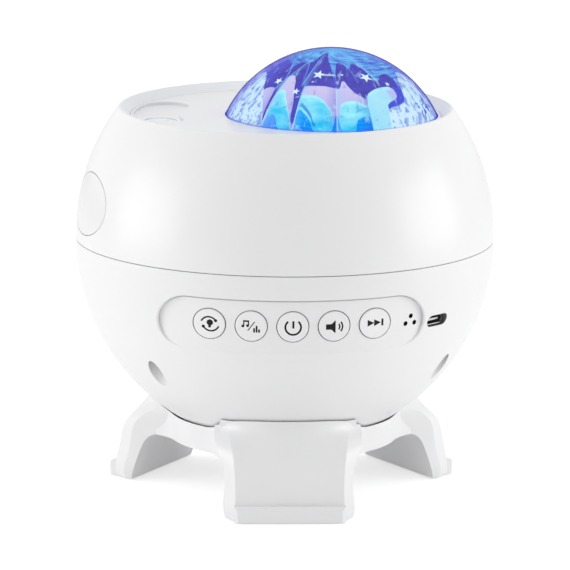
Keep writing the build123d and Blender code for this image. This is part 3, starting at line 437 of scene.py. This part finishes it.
# %% Hand the finishes out
slots = {part["node"]: part["material_slot"] for part in frame["record"]["subparts"]}
for name, node in nodes.items():
    node.data.materials.clear()
    node.data.materials.append(FINISHES[slots[name]])
# The microphone behind the small holes is near black too, as painted shade of the holes.
nodes["microphone"].data.materials[0] = FINISHES["mesh_black"]
for name, finish in SHELL_FINISHES.items():
    nodes[name].data.materials[0] = finish
print("nodes with a finish:", len(nodes))

# %% [markdown]
# ## Printed keys
#
# Each key carries a small dark symbol, drawn as a formula over the key's face: u runs to the right
# and v upwards, in millimetres from the middle of the key. Discs, bars, parts of rings and triangles
# are enough for all five. The ink is a mask with a narrow soft edge, so that it has no jagged steps.

# %% Shapes of the ink
INK_SOFT = 0.08          # width of the ink's edge, in millimetres
SPREAD = 0.07            # the ink spreads this far over the drawn shapes


def far(u, v, x, y):
    """Distance from the point (x, y)."""
    return ((u - x) ** 2.0 + (v - y) ** 2.0).math("SQRT")


def disc(u, v, x, y, radius):
    """Inside when the point (x, y) is nearer than the radius."""
    return far(u, v, x, y).below(radius + SPREAD, INK_SOFT)


def bar(u, v, left, low, right, high):
    """Inside when both coordinates lie within half the size of the middle."""
    across = u.near((left + right) / 2, (right - left) / 2 + SPREAD, INK_SOFT)
    return across * v.near((low + high) / 2, (high - low) / 2 + SPREAD, INK_SOFT)


def ring_part(u, v, x, y, radius, width, middle, half):
    """Part of a ring: near its radius, and within half degrees of the direction middle."""
    a = radians(middle)
    out = far(u, v, x, y)
    along = (u - x) * cos(a) + (v - y) * sin(a)
    inside = out.near(radius, width / 2 + SPREAD, INK_SOFT)
    return inside * (along - out * cos(radians(half))).above(0.0, INK_SOFT)


def pointer(u, v, left, y, width, height):
    """A triangle that points right: its height shrinks evenly from its base to its tip."""
    room = (left + width - u) * (height / 2 / width)
    return (abs(v - y) - room).below(SPREAD, INK_SOFT) * u.above(left - SPREAD, INK_SOFT)


def unite(*masks):
    """1 where any of the masks is 1."""
    whole = masks[0]
    for mask in masks[1:]:
        whole = whole.larger(mask)
    return whole


# %% The five symbols
def light_symbol(u, v):
    """A lamp bulb with two arrows circling it."""
    bulb = unite(disc(u, v, 0.14, 0.5, 1.05), bar(u, v, -0.3, -1.3, 0.45, -0.1))
    over = ring_part(u, v, -0.2, -0.25, 2.8, 0.45, 95, 63)
    under = ring_part(u, v, 0.45, 0.38, 2.93, 0.45, 273, 66)
    return unite(bulb, over, under, disc(u, v, 2.1, 1.3, 0.5), disc(u, v, -2.1, -1.1, 0.5))


def music_symbol(u, v):
    """Two joined notes, a stroke, and three bars of an equaliser."""
    stems = unite(bar(u, v, -2.75, 0.0, -2.45, 1.9), bar(u, v, -1.12, 0.2, -0.82, 1.9))
    heads = unite(disc(u, v, -2.9, 0.0, 0.45), disc(u, v, -1.27, 0.2, 0.45))
    notes = unite(bar(u, v, -2.75, 1.6, -0.82, 2.1), stems, heads)
    stroke = (u * 0.815 - v * 0.58).near(-0.03, 0.17, INK_SOFT) * v.near(0.05, 1.65, INK_SOFT)
    levels = unite(bar(u, v, 0.75, -2.15, 1.25, -0.7), bar(u, v, 1.6, -2.15, 2.1, 0.2),
                   bar(u, v, 2.45, -2.15, 2.95, -1.1))
    return unite(notes, stroke, levels)


def power_symbol(u, v):
    """An open ring with a bar in its gap."""
    return unite(ring_part(u, v, 0.1, -0.1, 2.72, 0.55, 270, 140), bar(u, v, -0.15, -0.45, 0.45, 2.1))


def volume_symbol(u, v):
    """A loudspeaker with two waves."""
    flare = (u + 1.2).larger(0.0)
    horn = (abs(v + 0.2) - flare ** 1.6 * 0.75).below(1.0, INK_SOFT) * bar(u, v, -2.8, -2.3, 0.45, 1.95)
    inner = ring_part(u, v, 0.3, -0.2, 1.65, 0.4, 0, 38)
    outer = ring_part(u, v, 0.3, -0.2, 2.65, 0.42, 0, 40)
    return unite(horn, inner, outer)


def next_symbol(u, v):
    """Two triangles against a bar."""
    return unite(pointer(u, v, -2.5, 0.27, 2.2, 2.3), pointer(u, v, -0.2, 0.3, 2.25, 2.3),
                 bar(u, v, 2.4, -0.9, 3.0, 1.5))


# %% Ink on the keys
INK = (0.002, 0.002, 0.003)
KEY_LOW, KEY_HIGH = (0.83, 0.83, 0.84), (0.87, 0.87, 0.88)
SYMBOLS = {"button_light": light_symbol, "button_music": music_symbol, "button_power": power_symbol,
           "button_volume": volume_symbol, "button_next": next_symbol}


def printed_key(name, symbol):
    """Satin white key with its symbol mixed into the colour, and the ink standing a hair proud."""
    low, high = node_box(name)
    sheet = Sheet(name)
    spot = sheet.place()
    x, y, z = sheet.split(spot)
    ink = symbol(x - (low[0] + high[0]) / 2, z - (low[2] + high[2]) / 2)
    slow = sheet.noise(spot, 0.08, 3.0)
    plastic = sheet.mix(KEY_LOW, KEY_HIGH, slow)
    relief = sheet.noise(spot, 0.9) + ink
    return sheet.finish(Base_Color=sheet.mix(plastic, INK, ink), Specular_IOR_Level=0.3,
                        Roughness=0.24 + slow * 0.06 + ink * 0.3, Normal=sheet.bump(relief, 0.006))


for name, symbol in SYMBOLS.items():
    nodes[name].data.materials[0] = printed_key(name, symbol)
print("printed keys:", len(SYMBOLS))

# %% [markdown]
# ## The picture in the cut dome
#
# The dome is clear, smooth outside and cut into petals inside. Everything under it is seen bent and
# repeated in those cuts: violet with open stars from the mask, and cyan and deep blue from the lamps.
# Towards the sides the clear plastic shows pale icy streaks, which are painted sheen. So the picture
# in the cuts is drawn on a skin just inside the clear cap, and it glows. Its shaded and lit edges,
# its glints and its dim flanks are painted light and shade.
#
# The picture is laid out over azimuth and height. Drawn lines say how high each colour reaches
# at each azimuth, 0 being the front, and the back of the dome mirrors the front.

# %% Lines of the cuts, as (azimuth in degrees, share of the dome's height)
VIOLET_TOP = [(-90, 0.80), (-76, 0.85), (-60, 0.84), (-52, 0.80), (-46, 0.86), (-38, 0.86), (-31, 0.88),
              (-26, 0.96), (-18, 0.965), (-10, 0.91), (-4, 0.82), (0, 0.70), (1, 0.83), (6, 0.87),
              (12, 0.85), (16, 0.80), (20, 0.84), (25, 0.86), (30, 0.82), (33.5, 0.74), (35, 0.66),
              (38, 0.64), (44, 0.69), (52, 0.70), (57, 0.62), (60, 0.50), (90, 0.30)]
PINK_TOP = [(-90, 0), (-61, 0), (-59, 0.46), (-54, 0.52), (-50, 0.53), (-47, 0.42), (-44.8, 0.08),
            (-44, 0.67), (-40, 0.70), (-36, 0.67), (-32, 0.56), (-28, 0.36), (-25, 0.08), (-23.8, 0.585),
            (-12, 0.60), (0, 0.575), (2, 0.57), (4, 0.61), (6.5, 0.66), (9, 0.61), (14, 0.51),
            (20.5, 0.42), (21.5, 0), (90, 0)]
CYAN_TOP = [(-90, 0), (-44, 0), (-43, 0.50), (-40, 0.52), (-36, 0.45), (-31, 0.30), (-27, 0.14),
            (-25, 0.02), (-23.8, 0.475), (-17, 0.48), (-11, 0.45), (-6, 0.37), (-2.5, 0.25), (-0.8, 0.05),
            (0.8, 0.05), (2, 0.28), (5, 0.39), (10, 0.41), (16, 0.38), (20.3, 0.35), (21.5, 0.45),
            (26, 0.515), (34, 0.55), (42, 0.555), (46, 0.52), (48, 0.30), (50, 0), (90, 0)]
ICE_TOP = [(-90, 0.60), (-82, 0.66), (-70, 0.62), (-62, 0.53), (-57, 0.45), (-52, 0.34), (-48, 0.22),
           (-44.5, 0.05), (-43, 0), (31, 0), (33, 0.20), (36, 0.28), (42, 0.30), (48, 0.32), (53, 0.42),
           (58, 0.55), (65, 0.62), (74, 0.68), (82, 0.62), (90, 0.50)]
BLUE_TOP = [(-90, 0), (-46, 0), (-42.5, 0.17), (-40, 0.19), (-36, 0.12), (-32, 0), (-24.6, 0),
            (-23.6, 0.29), (-20, 0.25), (-15, 0.13), (-11, 0), (-3.2, 0), (0, 0.22), (3.2, 0), (10, 0),
            (11.5, 0.13), (15, 0.19), (19.6, 0.20), (20.6, 0), (90, 0)]
HOOK_LOW = [(-90, 1), (33, 1), (34, 0.27), (40, 0.28), (48, 0.31), (52, 0.38), (57, 0.52), (58, 1),
            (90, 1)]
HOOK_TOP = [(-90, 0), (33, 0), (34, 0.31), (38, 0.36), (43, 0.39), (46, 0.42), (48, 0.53), (57, 0.54),
            (58, 0), (90, 0)]
print("points of the violet, pink and cyan lines:", len(VIOLET_TOP), len(PINK_TOP), len(CYAN_TOP))

# %% Edges, arches and stars, and the sphere that they lie on
# An edge between two cuts has its azimuth, its low and high end, and its lean over the whole height.
EDGES = [(-44.6, 0.0, 0.58, 0.0), (-24.4, 0.0, 0.60, 0.0), (0.2, 0.0, 0.58, 0.0), (20.9, 0.0, 0.47, 0.0),
         (-49.0, 0.50, 0.92, 30.0), (-26.5, 0.60, 0.95, 12.0), (36.0, 0.66, 0.90, -26.0)]
# An arch is a painted glint on a quarter of an ellipse, with its middle, its half width in degrees and its height.
ARCHES = [(-62, 0.60, 17, 0.24), (-38, 0.62, 11, 0.25), (-15, 0.70, 15, 0.27), (25, 0.66, 10.5, 0.20),
          (9, 0.66, 9.5, 0.20)]
# A star has its place, the reach of its points in millimetres, and its lean in degrees.
STARS = [(-15.5, 0.755, 2.4, 8), (28.5, 0.71, 2.5, -20), (-50.5, 0.63, 1.8, 10), (-29.5, 0.53, 1.5, 0),
         (45, 0.60, 1.1, 25), (6.5, 0.755, 0.7, 0), (-19, 0.665, 0.5, 0)]
DOME_BALL_R = (DOME_R**2 + DOME_H**2) / (2 * DOME_H)
DOME_BALL_Z = DOME_TOP - DOME_BALL_R
print(f"the dome is part of a sphere of radius {DOME_BALL_R:.1f} whose middle lies at {DOME_BALL_Z:.1f}")

# %% [markdown]
# ## Painting the picture in layers
#
# A painter works from the back to the front, and so does this picture. Each layer is a colour and a
# mask, and the mask says how much of what lies under it the colour covers. The masks come from the
# drawn lines, from simple distances, and from noise that is stretched along the cuts, because
# the light in cut plastic is drawn out into streaks and splinters.

# %% A picture that is painted in layers
class CutPicture:
    """The glowing picture, and the measures that its layers share.

    azimuth goes from -90 degrees at the left over 0 at the front to 90 at the right, and the back
    mirrors the front. share is the azimuth told from 0 to 1. height is told in shares of the dome's
    height, and level is the same height with a slight sway, so that no line looks ruled."""

    def __init__(self, name):
        self.sheet = Sheet(name)
        x, y, z = self.sheet.split(self.sheet.place())
        x, y = x - DOME_X, -abs(y)
        reach = (x ** 2.0 + y ** 2.0).math("SQRT").larger(0.01)
        self.azimuth = (x / reach).math("ARCSINE") * (180 / pi)
        self.share = self.azimuth / 180 + 0.5
        self.height = (z - DECK_Z) / DOME_H
        sway = self.noise(self.share * 9.0, self.height * 5.0, 0.0) - 0.5
        self.level = self.height + sway * 0.02
        self.folded = self.sheet.join(x + DOME_X, y, z)
        self.colour = None

    def noise(self, across, up, slice_at, detail=2.0, roughness=0.5):
        """Noise over the dome. Each slice through it is a pattern of its own."""
        return self.sheet.noise(self.sheet.join(across, up, slice_at), 1.0, detail, roughness)

    def line(self, points):
        """Height of a drawn line. The curve wants both coordinates from 0 to 1."""
        return self.sheet.curve(self.share, [((azimuth + 90) / 180, up) for azimuth, up in points])

    def under(self, line, soft=0.012):
        """1 below a line."""
        return (line - self.level).above(0.0, soft)

    def paint(self, colour, mask):
        """Cover what is there with a colour, as far as the mask says."""
        self.colour = self.sheet.mix(self.colour, colour, mask)

    def report(self, what):
        """Say how many nodes the picture has by now."""
        print(f"{what}: {len(self.sheet.tree.nodes)} nodes so far")


# %% Level streaks, steep splinters and soft clouds
cuts = CutPicture("cut_picture")
mix, azimuth, share, height, level = cuts.sheet.mix, cuts.azimuth, cuts.share, cuts.height, cuts.level
streaks = cuts.noise(share * 7.0, height * 34.0 + share * 6.0, 0.0, 5.0, 0.62)
streaks = ((streaks - 0.36) * 3.4 + height.above(0.93, 0.14) * 0.35).clamp()
bend = cuts.noise(share * 11.0, height * 4.0, 2.0) * 2.5
splinters = cuts.noise(share * 46.0 + bend, height * 8.0 + bend, 4.0, 4.0, 0.6)
splinters = ((splinters - 0.41) * 7.0).clamp()
cloud = cuts.noise(share * 12.0, height * 7.0, 9.0, 3.0)
cuts.report("patterns")

# %% Blue streaks at the top, the violet under them, and arches of painted blue glint in it
SKY_DARK, SKY_LIGHT = (0.08, 0.11, 0.62), (0.18, 0.58, 0.97)
VIOLET_DARK, VIOLET_LIGHT = (0.055, 0.035, 0.29), (0.12, 0.12, 0.66)
VIOLET_LEFT = (0.125, 0.13, 0.70)
ARCH_GLINT_BLUE = (0.20, 0.42, 0.97)

cuts.colour = mix(SKY_DARK, SKY_LIGHT, streaks)
violet = mix(VIOLET_DARK, VIOLET_LIGHT, cloud * 0.75 + streaks * 0.25)
violet = mix(violet, VIOLET_LEFT, azimuth.below(-60.0, 12.0) * 0.6)
cuts.paint(violet, cuts.under(cuts.line(VIOLET_TOP)))
for middle, low, wide, tall in ARCHES:
    out = (((azimuth - middle) / wide) ** 2.0 + ((level - low) / tall) ** 2.0).math("SQRT")
    arch_glint = out.near(1.0, 0.03, 0.09) * azimuth.above(middle, wide) * level.above(low, 0.1)
    cuts.paint(ARCH_GLINT_BLUE, arch_glint * 0.85)
cuts.report("violet")

# %% Pink in the petals, and cyan below it with a bright rim
ROSE_LOW, ROSE_HIGH, ROSE_BLUE = (0.42, 0.38, 0.82), (0.74, 0.64, 0.84), (0.50, 0.56, 0.95)
CYAN_LOW, CYAN_HIGH = (0.04, 0.58, 0.93), (0.36, 0.89, 1.0)
CYAN_RIGHT = (0.44, 0.80, 0.95)
CYAN_RIM = (0.50, 0.95, 1.0)

rose = mix(ROSE_LOW, ROSE_HIGH, (height * 2.2 - 0.4).clamp())
cuts.paint(mix(rose, ROSE_BLUE, cloud * 0.8), cuts.under(cuts.line(PINK_TOP)))
cyan_line = cuts.line(CYAN_TOP)
in_cyan = cuts.under(cyan_line)
cyan = mix(CYAN_LOW, CYAN_HIGH, (cloud * 2.0 - 0.9 + height * 1.5).clamp())
cyan = mix(cyan, CYAN_RIGHT, azimuth.above(21.0, 1.0) * 0.8)
cuts.paint(cyan, in_cyan)
rim = (cyan_line - level).below(0.035, 0.03) * in_cyan
cuts.paint(CYAN_RIM, rim * 0.6)
cuts.report("pink and cyan")

# %% A lilac blush and a dark hook in the petal at the right
BLUSH = (0.50, 0.47, 0.86)
HOOK_BLUE = (0.075, 0.10, 0.68)

blush = azimuth.near(44.0, 4.5, 3.0) * level.near(0.45, 0.07, 0.05)
cuts.paint(BLUSH, blush * 0.75)
hook = level.above(cuts.line(HOOK_LOW), 0.015) * level.below(cuts.line(HOOK_TOP), 0.015)
cuts.paint(HOOK_BLUE, hook)
cuts.report("blush and hook")

# %% Icy splinters at both sides, a painted sheen of the clear plastic seen edge-on
ICE_SHEEN_DARK, ICE_SHEEN_LIGHT = (0.09, 0.15, 0.72), (0.62, 0.86, 1.0)
SPECK_BLUE = (0.05, 0.10, 0.62)

ice_sheen = mix(ICE_SHEEN_DARK, ICE_SHEEN_LIGHT, (splinters + cloud * 0.5 + 0.12).clamp())
cuts.paint(ice_sheen, cuts.under(cuts.line(ICE_TOP), 0.02))
speck = azimuth.near(70.0, 9.0, 8.0) * height.near(0.2, 0.14, 0.12) * splinters.below(0.62, 0.2)
cuts.paint(SPECK_BLUE, speck * 0.85)
cuts.report("ice")

# %% Deep blue at the foot, with dashes in the cyan over it
AZURE_LOW, AZURE_HIGH, AZURE_LEFT = (0.0, 0.19, 0.93), (0.01, 0.45, 1.0), (0.14, 0.36, 0.95)
DASH_BLUE = (0.01, 0.20, 0.75)

blue_line = cuts.line(BLUE_TOP)
in_blue = cuts.under(blue_line, 0.02)
azure = mix(AZURE_LOW, AZURE_HIGH, (streaks * 0.6 + height * 1.5).clamp())
cuts.paint(mix(azure, AZURE_LEFT, azimuth.below(-36.0, 3.0) * 0.7), in_blue)
over = level - blue_line
dashes = abs(over * 34.0 - share * 10.0).math("SINE").above(0.55, 0.3) * (1 - in_blue)
where = over.below(0.10, 0.05) * unite(azimuth.near(-18.0, 5.5, 2.0), azimuth.near(15.5, 3.8, 1.5))
cuts.paint(DASH_BLUE, dashes * where * in_cyan * 0.8)
cuts.report("deep blue")

# %% Edges between the cuts, with painted shade on one side, painted light on the other, and painted glints
# Each edge gets painted shade on one side, painted light on the other and a bright painted glint along it; the
# light flecks are painted glints too.
EDGE_PAINTED_SHADE, EDGE_PAINTED_LIGHT, EDGE_PAINTED_GLINT = (0.03, 0.08, 0.62), (0.22, 0.72, 1.0), (0.60, 0.88, 1.0)
FLECK_PAINTED_GLINT, FLECK_DARK = (0.55, 0.90, 1.0), (0.03, 0.07, 0.55)

for middle, low, top, lean in EDGES:
    side = azimuth - middle - (height - low) * lean
    along = height.below(top, 0.05) * height.above(low, 0.05)
    cuts.paint(EDGE_PAINTED_SHADE, side.above(-4.0, 6.0) * side.below(0.0, 0.4) * along * 0.30)
    cuts.paint(EDGE_PAINTED_LIGHT, side.above(0.0, 0.4) * side.below(3.0, 5.0) * along * 0.28)
    cuts.paint(EDGE_PAINTED_GLINT, abs(side).below(0.22, 0.4) * along * 0.7)
flecks = cuts.noise(share * 34.0 + bend * 0.7, height * 7.0 + bend, 14.0, 4.0, 0.6)
cuts.paint(FLECK_PAINTED_GLINT, flecks.above(0.63, 0.09) * 0.4)
cuts.paint(FLECK_DARK, flecks.below(0.37, 0.06) * 0.3)
cuts.report("edges and flecks")

# %% A star on the round dome
STAR_NOTCH = 0.42        # the notches lie at this share of the points' reach


def star_mask(sheet, spot, turn, up, size, lean):
    """A five-pointed star, drawn on the plane that touches the dome there.

    The direction round the star is folded into half of one fifth. In that wedge the star's edge is
    one straight line, from the tip at 0 degrees to the notch at 36 degrees."""
    a = radians(turn)
    z = DECK_Z + DOME_H * up
    r = sqrt(DOME_BALL_R**2 - (z - DOME_BALL_Z)**2)
    middle = Vector((DOME_X + r * sin(a), -r * cos(a), z))
    right = Vector((cos(a), sin(a), 0))
    upwards = (middle - Vector((DOME_X, 0, DOME_BALL_Z))).normalized().cross(right)
    offset = sheet.add("ShaderNodeVectorMath", {"operation": "SUBTRACT"}, {0: spot, 1: tuple(middle)})
    u, v = (sheet.add("ShaderNodeVectorMath", {"operation": "DOT_PRODUCT"}, {0: offset, 1: tuple(axis)},
                      out=1) for axis in (right, upwards))
    fifth = (v.math("ARCTAN2", u) / (2 * pi) + (2 + lean / 360)) * 5.0 + 0.25
    fold = abs(fifth.math("FRACT") - 0.5) * (2 * pi / 5)
    notch = STAR_NOTCH * size * Vector((cos(pi / 5), sin(pi / 5)))
    normal = Vector((notch.y, size - notch.x)).normalized()
    reach = (u ** 2.0 + v ** 2.0).math("SQRT")
    edge = reach * (fold.math("COSINE") * normal.x + fold.math("SINE") * normal.y)
    return edge.below(size * normal.x, 0.2)


# %% The stars, one of them with a bright tail
STAR_BLUE, STAR_WHITE = (0.45, 0.82, 0.97), (0.93, 1.0, 0.97)

stars = unite(*(star_mask(cuts.sheet, cuts.folded, *star) for star in STARS))
tail = height.near(0.735, 0.008, 0.012) * azimuth.near(-7.0, 6.5, 3.0)
cuts.paint(mix(STAR_BLUE, STAR_WHITE, cloud), stars.larger(tail * 0.7))
cuts.report("stars")

# %% Painted shade on the flanks and at the foot, and the finished picture
FLANK_DARK, FLANK_LIGHT, FOOT_BLUE = (0.11, 0.09, 0.60), (0.30, 0.33, 0.92), (0.10, 0.10, 0.70)
UNLIT_DARK, UNLIT_LIGHT = (0.0, 0.0, 0.01), (0.01, 0.01, 0.03)
GLOW = 1.0               # the picture's own light, 1 shows its colours as they are written

flank = abs(azimuth).above(80.0, 9.0) * height.below(0.88, 0.1)
cuts.paint(mix(FLANK_DARK, FLANK_LIGHT, splinters), flank * 0.62)
cuts.paint(FOOT_BLUE, height.below(0.015, 0.02) * 0.5)
glowing_cuts = cuts.sheet.finish(Base_Color=mix(UNLIT_DARK, UNLIT_LIGHT, splinters), Roughness=0.5,
                                 Specular_IOR_Level=0.0, Emission_Color=cuts.colour,
                                 Emission_Strength=GLOW)
cuts.report("whole picture")

# %% [markdown]
# ## From arrays to surfaces
#
# Every new piece is a grid of points: one parameter runs along a profile and the other carries it
# round. NumPy works out the whole grid at once, and one function hands it to the mesh.

# %% A grid of points becomes a mesh
SAME_PLACE = 0.0005      # points closer than this, in millimetres, are one


def skin(name, grid):
    """Mesh from a grid of points (rows, columns, 3) in millimetres from the middle of the ball.

    Quad (i, j) joins the points (i, j), (i, j+1), (i+1, j+1) and (i+1, j). The last column joins the
    first one. Points that fall together, as at a pole, are merged."""
    rows, columns = grid.shape[:2]
    index = np.arange(rows * columns).reshape(rows, columns)
    ahead = np.roll(index, -1, axis=1)
    quads = np.stack([index[:-1], ahead[:-1], ahead[1:], index[1:]], axis=-1).reshape(-1, 4)
    points = (grid.reshape(-1, 3) + [0, 0, BALL_Z]) * MM
    mesh = bpy.data.meshes.new(name)
    mesh.from_pydata(points.tolist(), [], quads.tolist())
    return clean(mesh)


def clean(mesh):
    """Merge doubled points, drop faces that fell flat, and point the rest outwards."""
    work = bmesh.new()
    work.from_mesh(mesh)
    bmesh.ops.remove_doubles(work, verts=work.verts, dist=SAME_PLACE * MM)
    bmesh.ops.dissolve_degenerate(work, edges=work.edges, dist=SAME_PLACE * MM)
    bmesh.ops.recalc_face_normals(work, faces=work.faces)
    work.to_mesh(mesh)
    work.free()
    return mesh


# %% A mesh becomes a piece
CREASE = 32.0            # edges sharper than this many degrees stay sharp


def piece(mesh, material):
    """An object for a mesh, with smooth shading except across its creases."""
    thing = bpy.data.objects.new(mesh.name, mesh)
    bpy.context.scene.collection.objects.link(thing)
    mesh.materials.clear()
    mesh.materials.append(material)
    mesh.shade_smooth()
    mesh.set_sharp_from_angle(angle=radians(CREASE))
    return thing


# %% Turned shapes
COLUMNS = 192            # steps round a turned shape


def lathe(profile, middle_x):
    """Carry a profile round an upright axis at middle_x.

    Each point (r, z) of it becomes (middle_x + r cos a, r sin a, z) for every angle a."""
    angles = np.linspace(0, 2 * np.pi, COLUMNS, endpoint=False)
    r, z = profile[:, 0][:, None], profile[:, 1][:, None]
    x = middle_x + r * np.cos(angles)
    y = r * np.sin(angles)
    return np.stack([x, y, np.broadcast_to(z, x.shape)], axis=-1)


# %% [markdown]
# ## The clear cap and the picture under it
#
# The outside of the real dome is polished and smooth. Looked at straight on it is clear, and towards
# its edge it turns into a mirror, as all clear plastic does. So the cap mixes a see-through shader
# with a shiny one, and the angle of the view says how much of each. The shine is tinted blue and
# violet, because what it mirrors is tinted by the light that leaves the dome. The picture lies on a
# second skin of the same shape, half a millimetre inside the cap.

# %% Outline of the dome
SKIN_GAP = 0.5                   # the picture lies this far inside the cap
CAP_FOOT = DECK_Z - 0.4          # both end a little below the face of the deck
PICTURE_FOOT = DECK_Z - 0.2


def dome_profile(inset, foot, steps=48):
    """Half outline of the dome, from the pole down its sphere and back along its foot.

    A point on the sphere is (radius cos a, middle + radius sin a)."""
    radius = DOME_BALL_R - inset
    a = np.linspace(pi / 2, np.arcsin((foot - DOME_BALL_Z) / radius), steps)
    side = np.column_stack([radius * np.cos(a), DOME_BALL_Z + radius * np.sin(a)])
    side[0, 0] = 0.0
    return np.vstack([side, [0.0, foot]])


print("points of the outline:", len(dome_profile(0.0, CAP_FOOT)))

# %% The clear cap
CAP_SHINE = (0.15, 0.13, 0.66)


def clear_cap():
    """Clear where the view is straight on, and more and more of a mirror towards the edge."""
    sheet = Sheet("clear_cap")
    ripple = sheet.noise(sheet.place(), 0.25, 2.0)
    edge_on = sheet.add("ShaderNodeLayerWeight", inputs={"Blend": 0.2}, out="Fresnel")
    glass = sheet.add("ShaderNodeBsdfTransparent", inputs={"Color": (1.0, 1.0, 1.0)})
    gloss = {"Color": CAP_SHINE, "Roughness": 0.05 + ripple * 0.04}
    shine = sheet.add("ShaderNodeBsdfGlossy", inputs=gloss)
    both = sheet.add("ShaderNodeMixShader", inputs={0: edge_on * 0.85, 1: glass, 2: shine})
    sheet.tree.links.new(both.socket, sheet.tree.nodes["Material Output"].inputs["Surface"])
    sheet.tree.nodes.remove(sheet.shader)
    return sheet.owner


cap = piece(skin("dome_cap", lathe(dome_profile(0.0, CAP_FOOT), DOME_X)), clear_cap())
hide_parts("dome_lens")
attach(cap, "ball")
print("faces of the cap:", len(cap.data.polygons))

# %% The skin with the picture
picture = piece(skin("dome_picture", lathe(dome_profile(SKIN_GAP, PICTURE_FOOT), DOME_X)), glowing_cuts)
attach(picture, "ball")
print("faces of the picture:", len(picture.data.polygons))

# %% [markdown]
# ## Table and background
#
# Product photographs are taken on white paper. Paper under soft lamps comes out light grey, so this
# table also glows a little to the camera. That lifts it to white and leaves the lamp's shadow in it.
# The world gives the same soft light from every side. The camera, mirrors and glass see it at its
# full strength of 1, which is white, and the light that falls on the lamp stays plain.

# %% The table
TABLE_GLOW = 0.42        # turns the lit paper white to the camera
TABLE_LIGHT = 0.09       # light that the paper adds from below
PAPER_DARK, PAPER_LIGHT = (0.92, 0.92, 0.92), (0.94, 0.94, 0.94)


def stage_plane(name, half, z):
    """A level square, half the given size to each side of the origin, that only sets the stage."""
    corners = [(-half, -half, z), (half, -half, z), (half, half, z), (-half, half, z)]
    mesh = bpy.data.meshes.new(name)
    mesh.from_pydata(corners, [], [(0, 1, 2, 3)])
    thing = bpy.data.objects.new(name, mesh)
    bpy.context.scene.collection.objects.link(thing)
    return thing


table = stage_plane("table", 30.0, 0.0)
paper = Sheet("table_paper")
to_camera = paper.add("ShaderNodeLightPath", out="Is Camera Ray")
grain = paper.noise(paper.place(), 0.4, 3.0)
glow = paper.mix((TABLE_LIGHT,) * 3, (TABLE_GLOW,) * 3, to_camera)
paper.finish(Base_Color=paper.mix(PAPER_DARK, PAPER_LIGHT, grain), Roughness=0.9,
             Emission_Color=glow, Emission_Strength=1.0)
table.data.materials.append(paper.owner)
print("table:", table.dimensions.x, "m wide")

# %% The world
WORLD_LIGHT = 0.68       # strength of the light on the lamp

sky = Sheet("studio", "worlds", "Background")
camera_ray, glossy_ray, glass_ray = (sky.add("ShaderNodeLightPath", out=name) for name in (
    "Is Camera Ray", "Is Glossy Ray", "Is Transmission Ray"))
seen = camera_ray.larger(glossy_ray.larger(glass_ray))
sky.finish(Color=(1, 1, 1), Strength=seen * (1.0 - WORLD_LIGHT) + WORLD_LIGHT)
bpy.context.scene.world = sky.owner
print("world:", len(sky.tree.nodes), "nodes")

# %% [markdown]
# ## Lamps and camera
#
# A white lamp on white is all about soft shading. Two large soft lamps stand left and right of the
# ball, so both flanks are bright and its middle falls off to a light grey. A third one hangs above
# and lights the deck. The camera stands far off with a long lens, which keeps the ball round.

# %% Lamps
LAMP_AIM = Vector((0.0, 0.0, 0.09))
# Name, place and size in metres, and power in watts.
LAMPS = [("lamp_left", (-1.0, -0.12, 0.18), 0.7, 4.2),
         ("lamp_right", (1.0, -0.12, 0.18), 0.7, 4.2),
         ("lamp_top", (0.0, 0.1, 1.2), 0.8, 2.3)]


def soft_lamp(name, spot, size, power):
    """A square soft lamp at a spot, turned to face its aim."""
    data = bpy.data.lights.new(name, "AREA")
    data.energy, data.size = power, size
    thing = bpy.data.objects.new(name, data)
    thing.location = spot
    thing.rotation_euler = (LAMP_AIM - Vector(spot)).to_track_quat("-Z", "Y").to_euler()
    bpy.context.scene.collection.objects.link(thing)


for lamp in LAMPS:
    soft_lamp(*lamp)
print("lamps:", [lamp[0] for lamp in LAMPS])

# %% Camera
CAMERA_DISTANCE = 1.9
CAMERA_TURN = -2.45      # degrees round from the front
CAMERA_RISE = 11.377     # degrees above level
CAMERA_ROLL = 0.436      # degrees round its own axis
CAMERA_AIM = Vector((0.0002, 0.0, 0.07343))
LENS, SENSOR = 333.4, 36.0      # in millimetres

turn, rise = radians(CAMERA_TURN), radians(CAMERA_RISE)
away = Vector((sin(turn) * cos(rise), -cos(turn) * cos(rise), sin(rise)))
camera = bpy.data.objects.new("camera", bpy.data.cameras.new("camera"))
camera.data.lens, camera.data.sensor_width = LENS, SENSOR
camera.location = CAMERA_AIM + away * CAMERA_DISTANCE
look = (-away).to_track_quat("-Z", "Y").to_matrix() @ Matrix.Rotation(radians(CAMERA_ROLL), 3, "Z")
camera.rotation_euler = look.to_euler()
bpy.context.scene.collection.objects.link(camera)
bpy.context.scene.camera = camera
bpy.context.scene.view_settings.view_transform = "Standard"
print("camera at:", [round(c, 3) for c in camera.location])
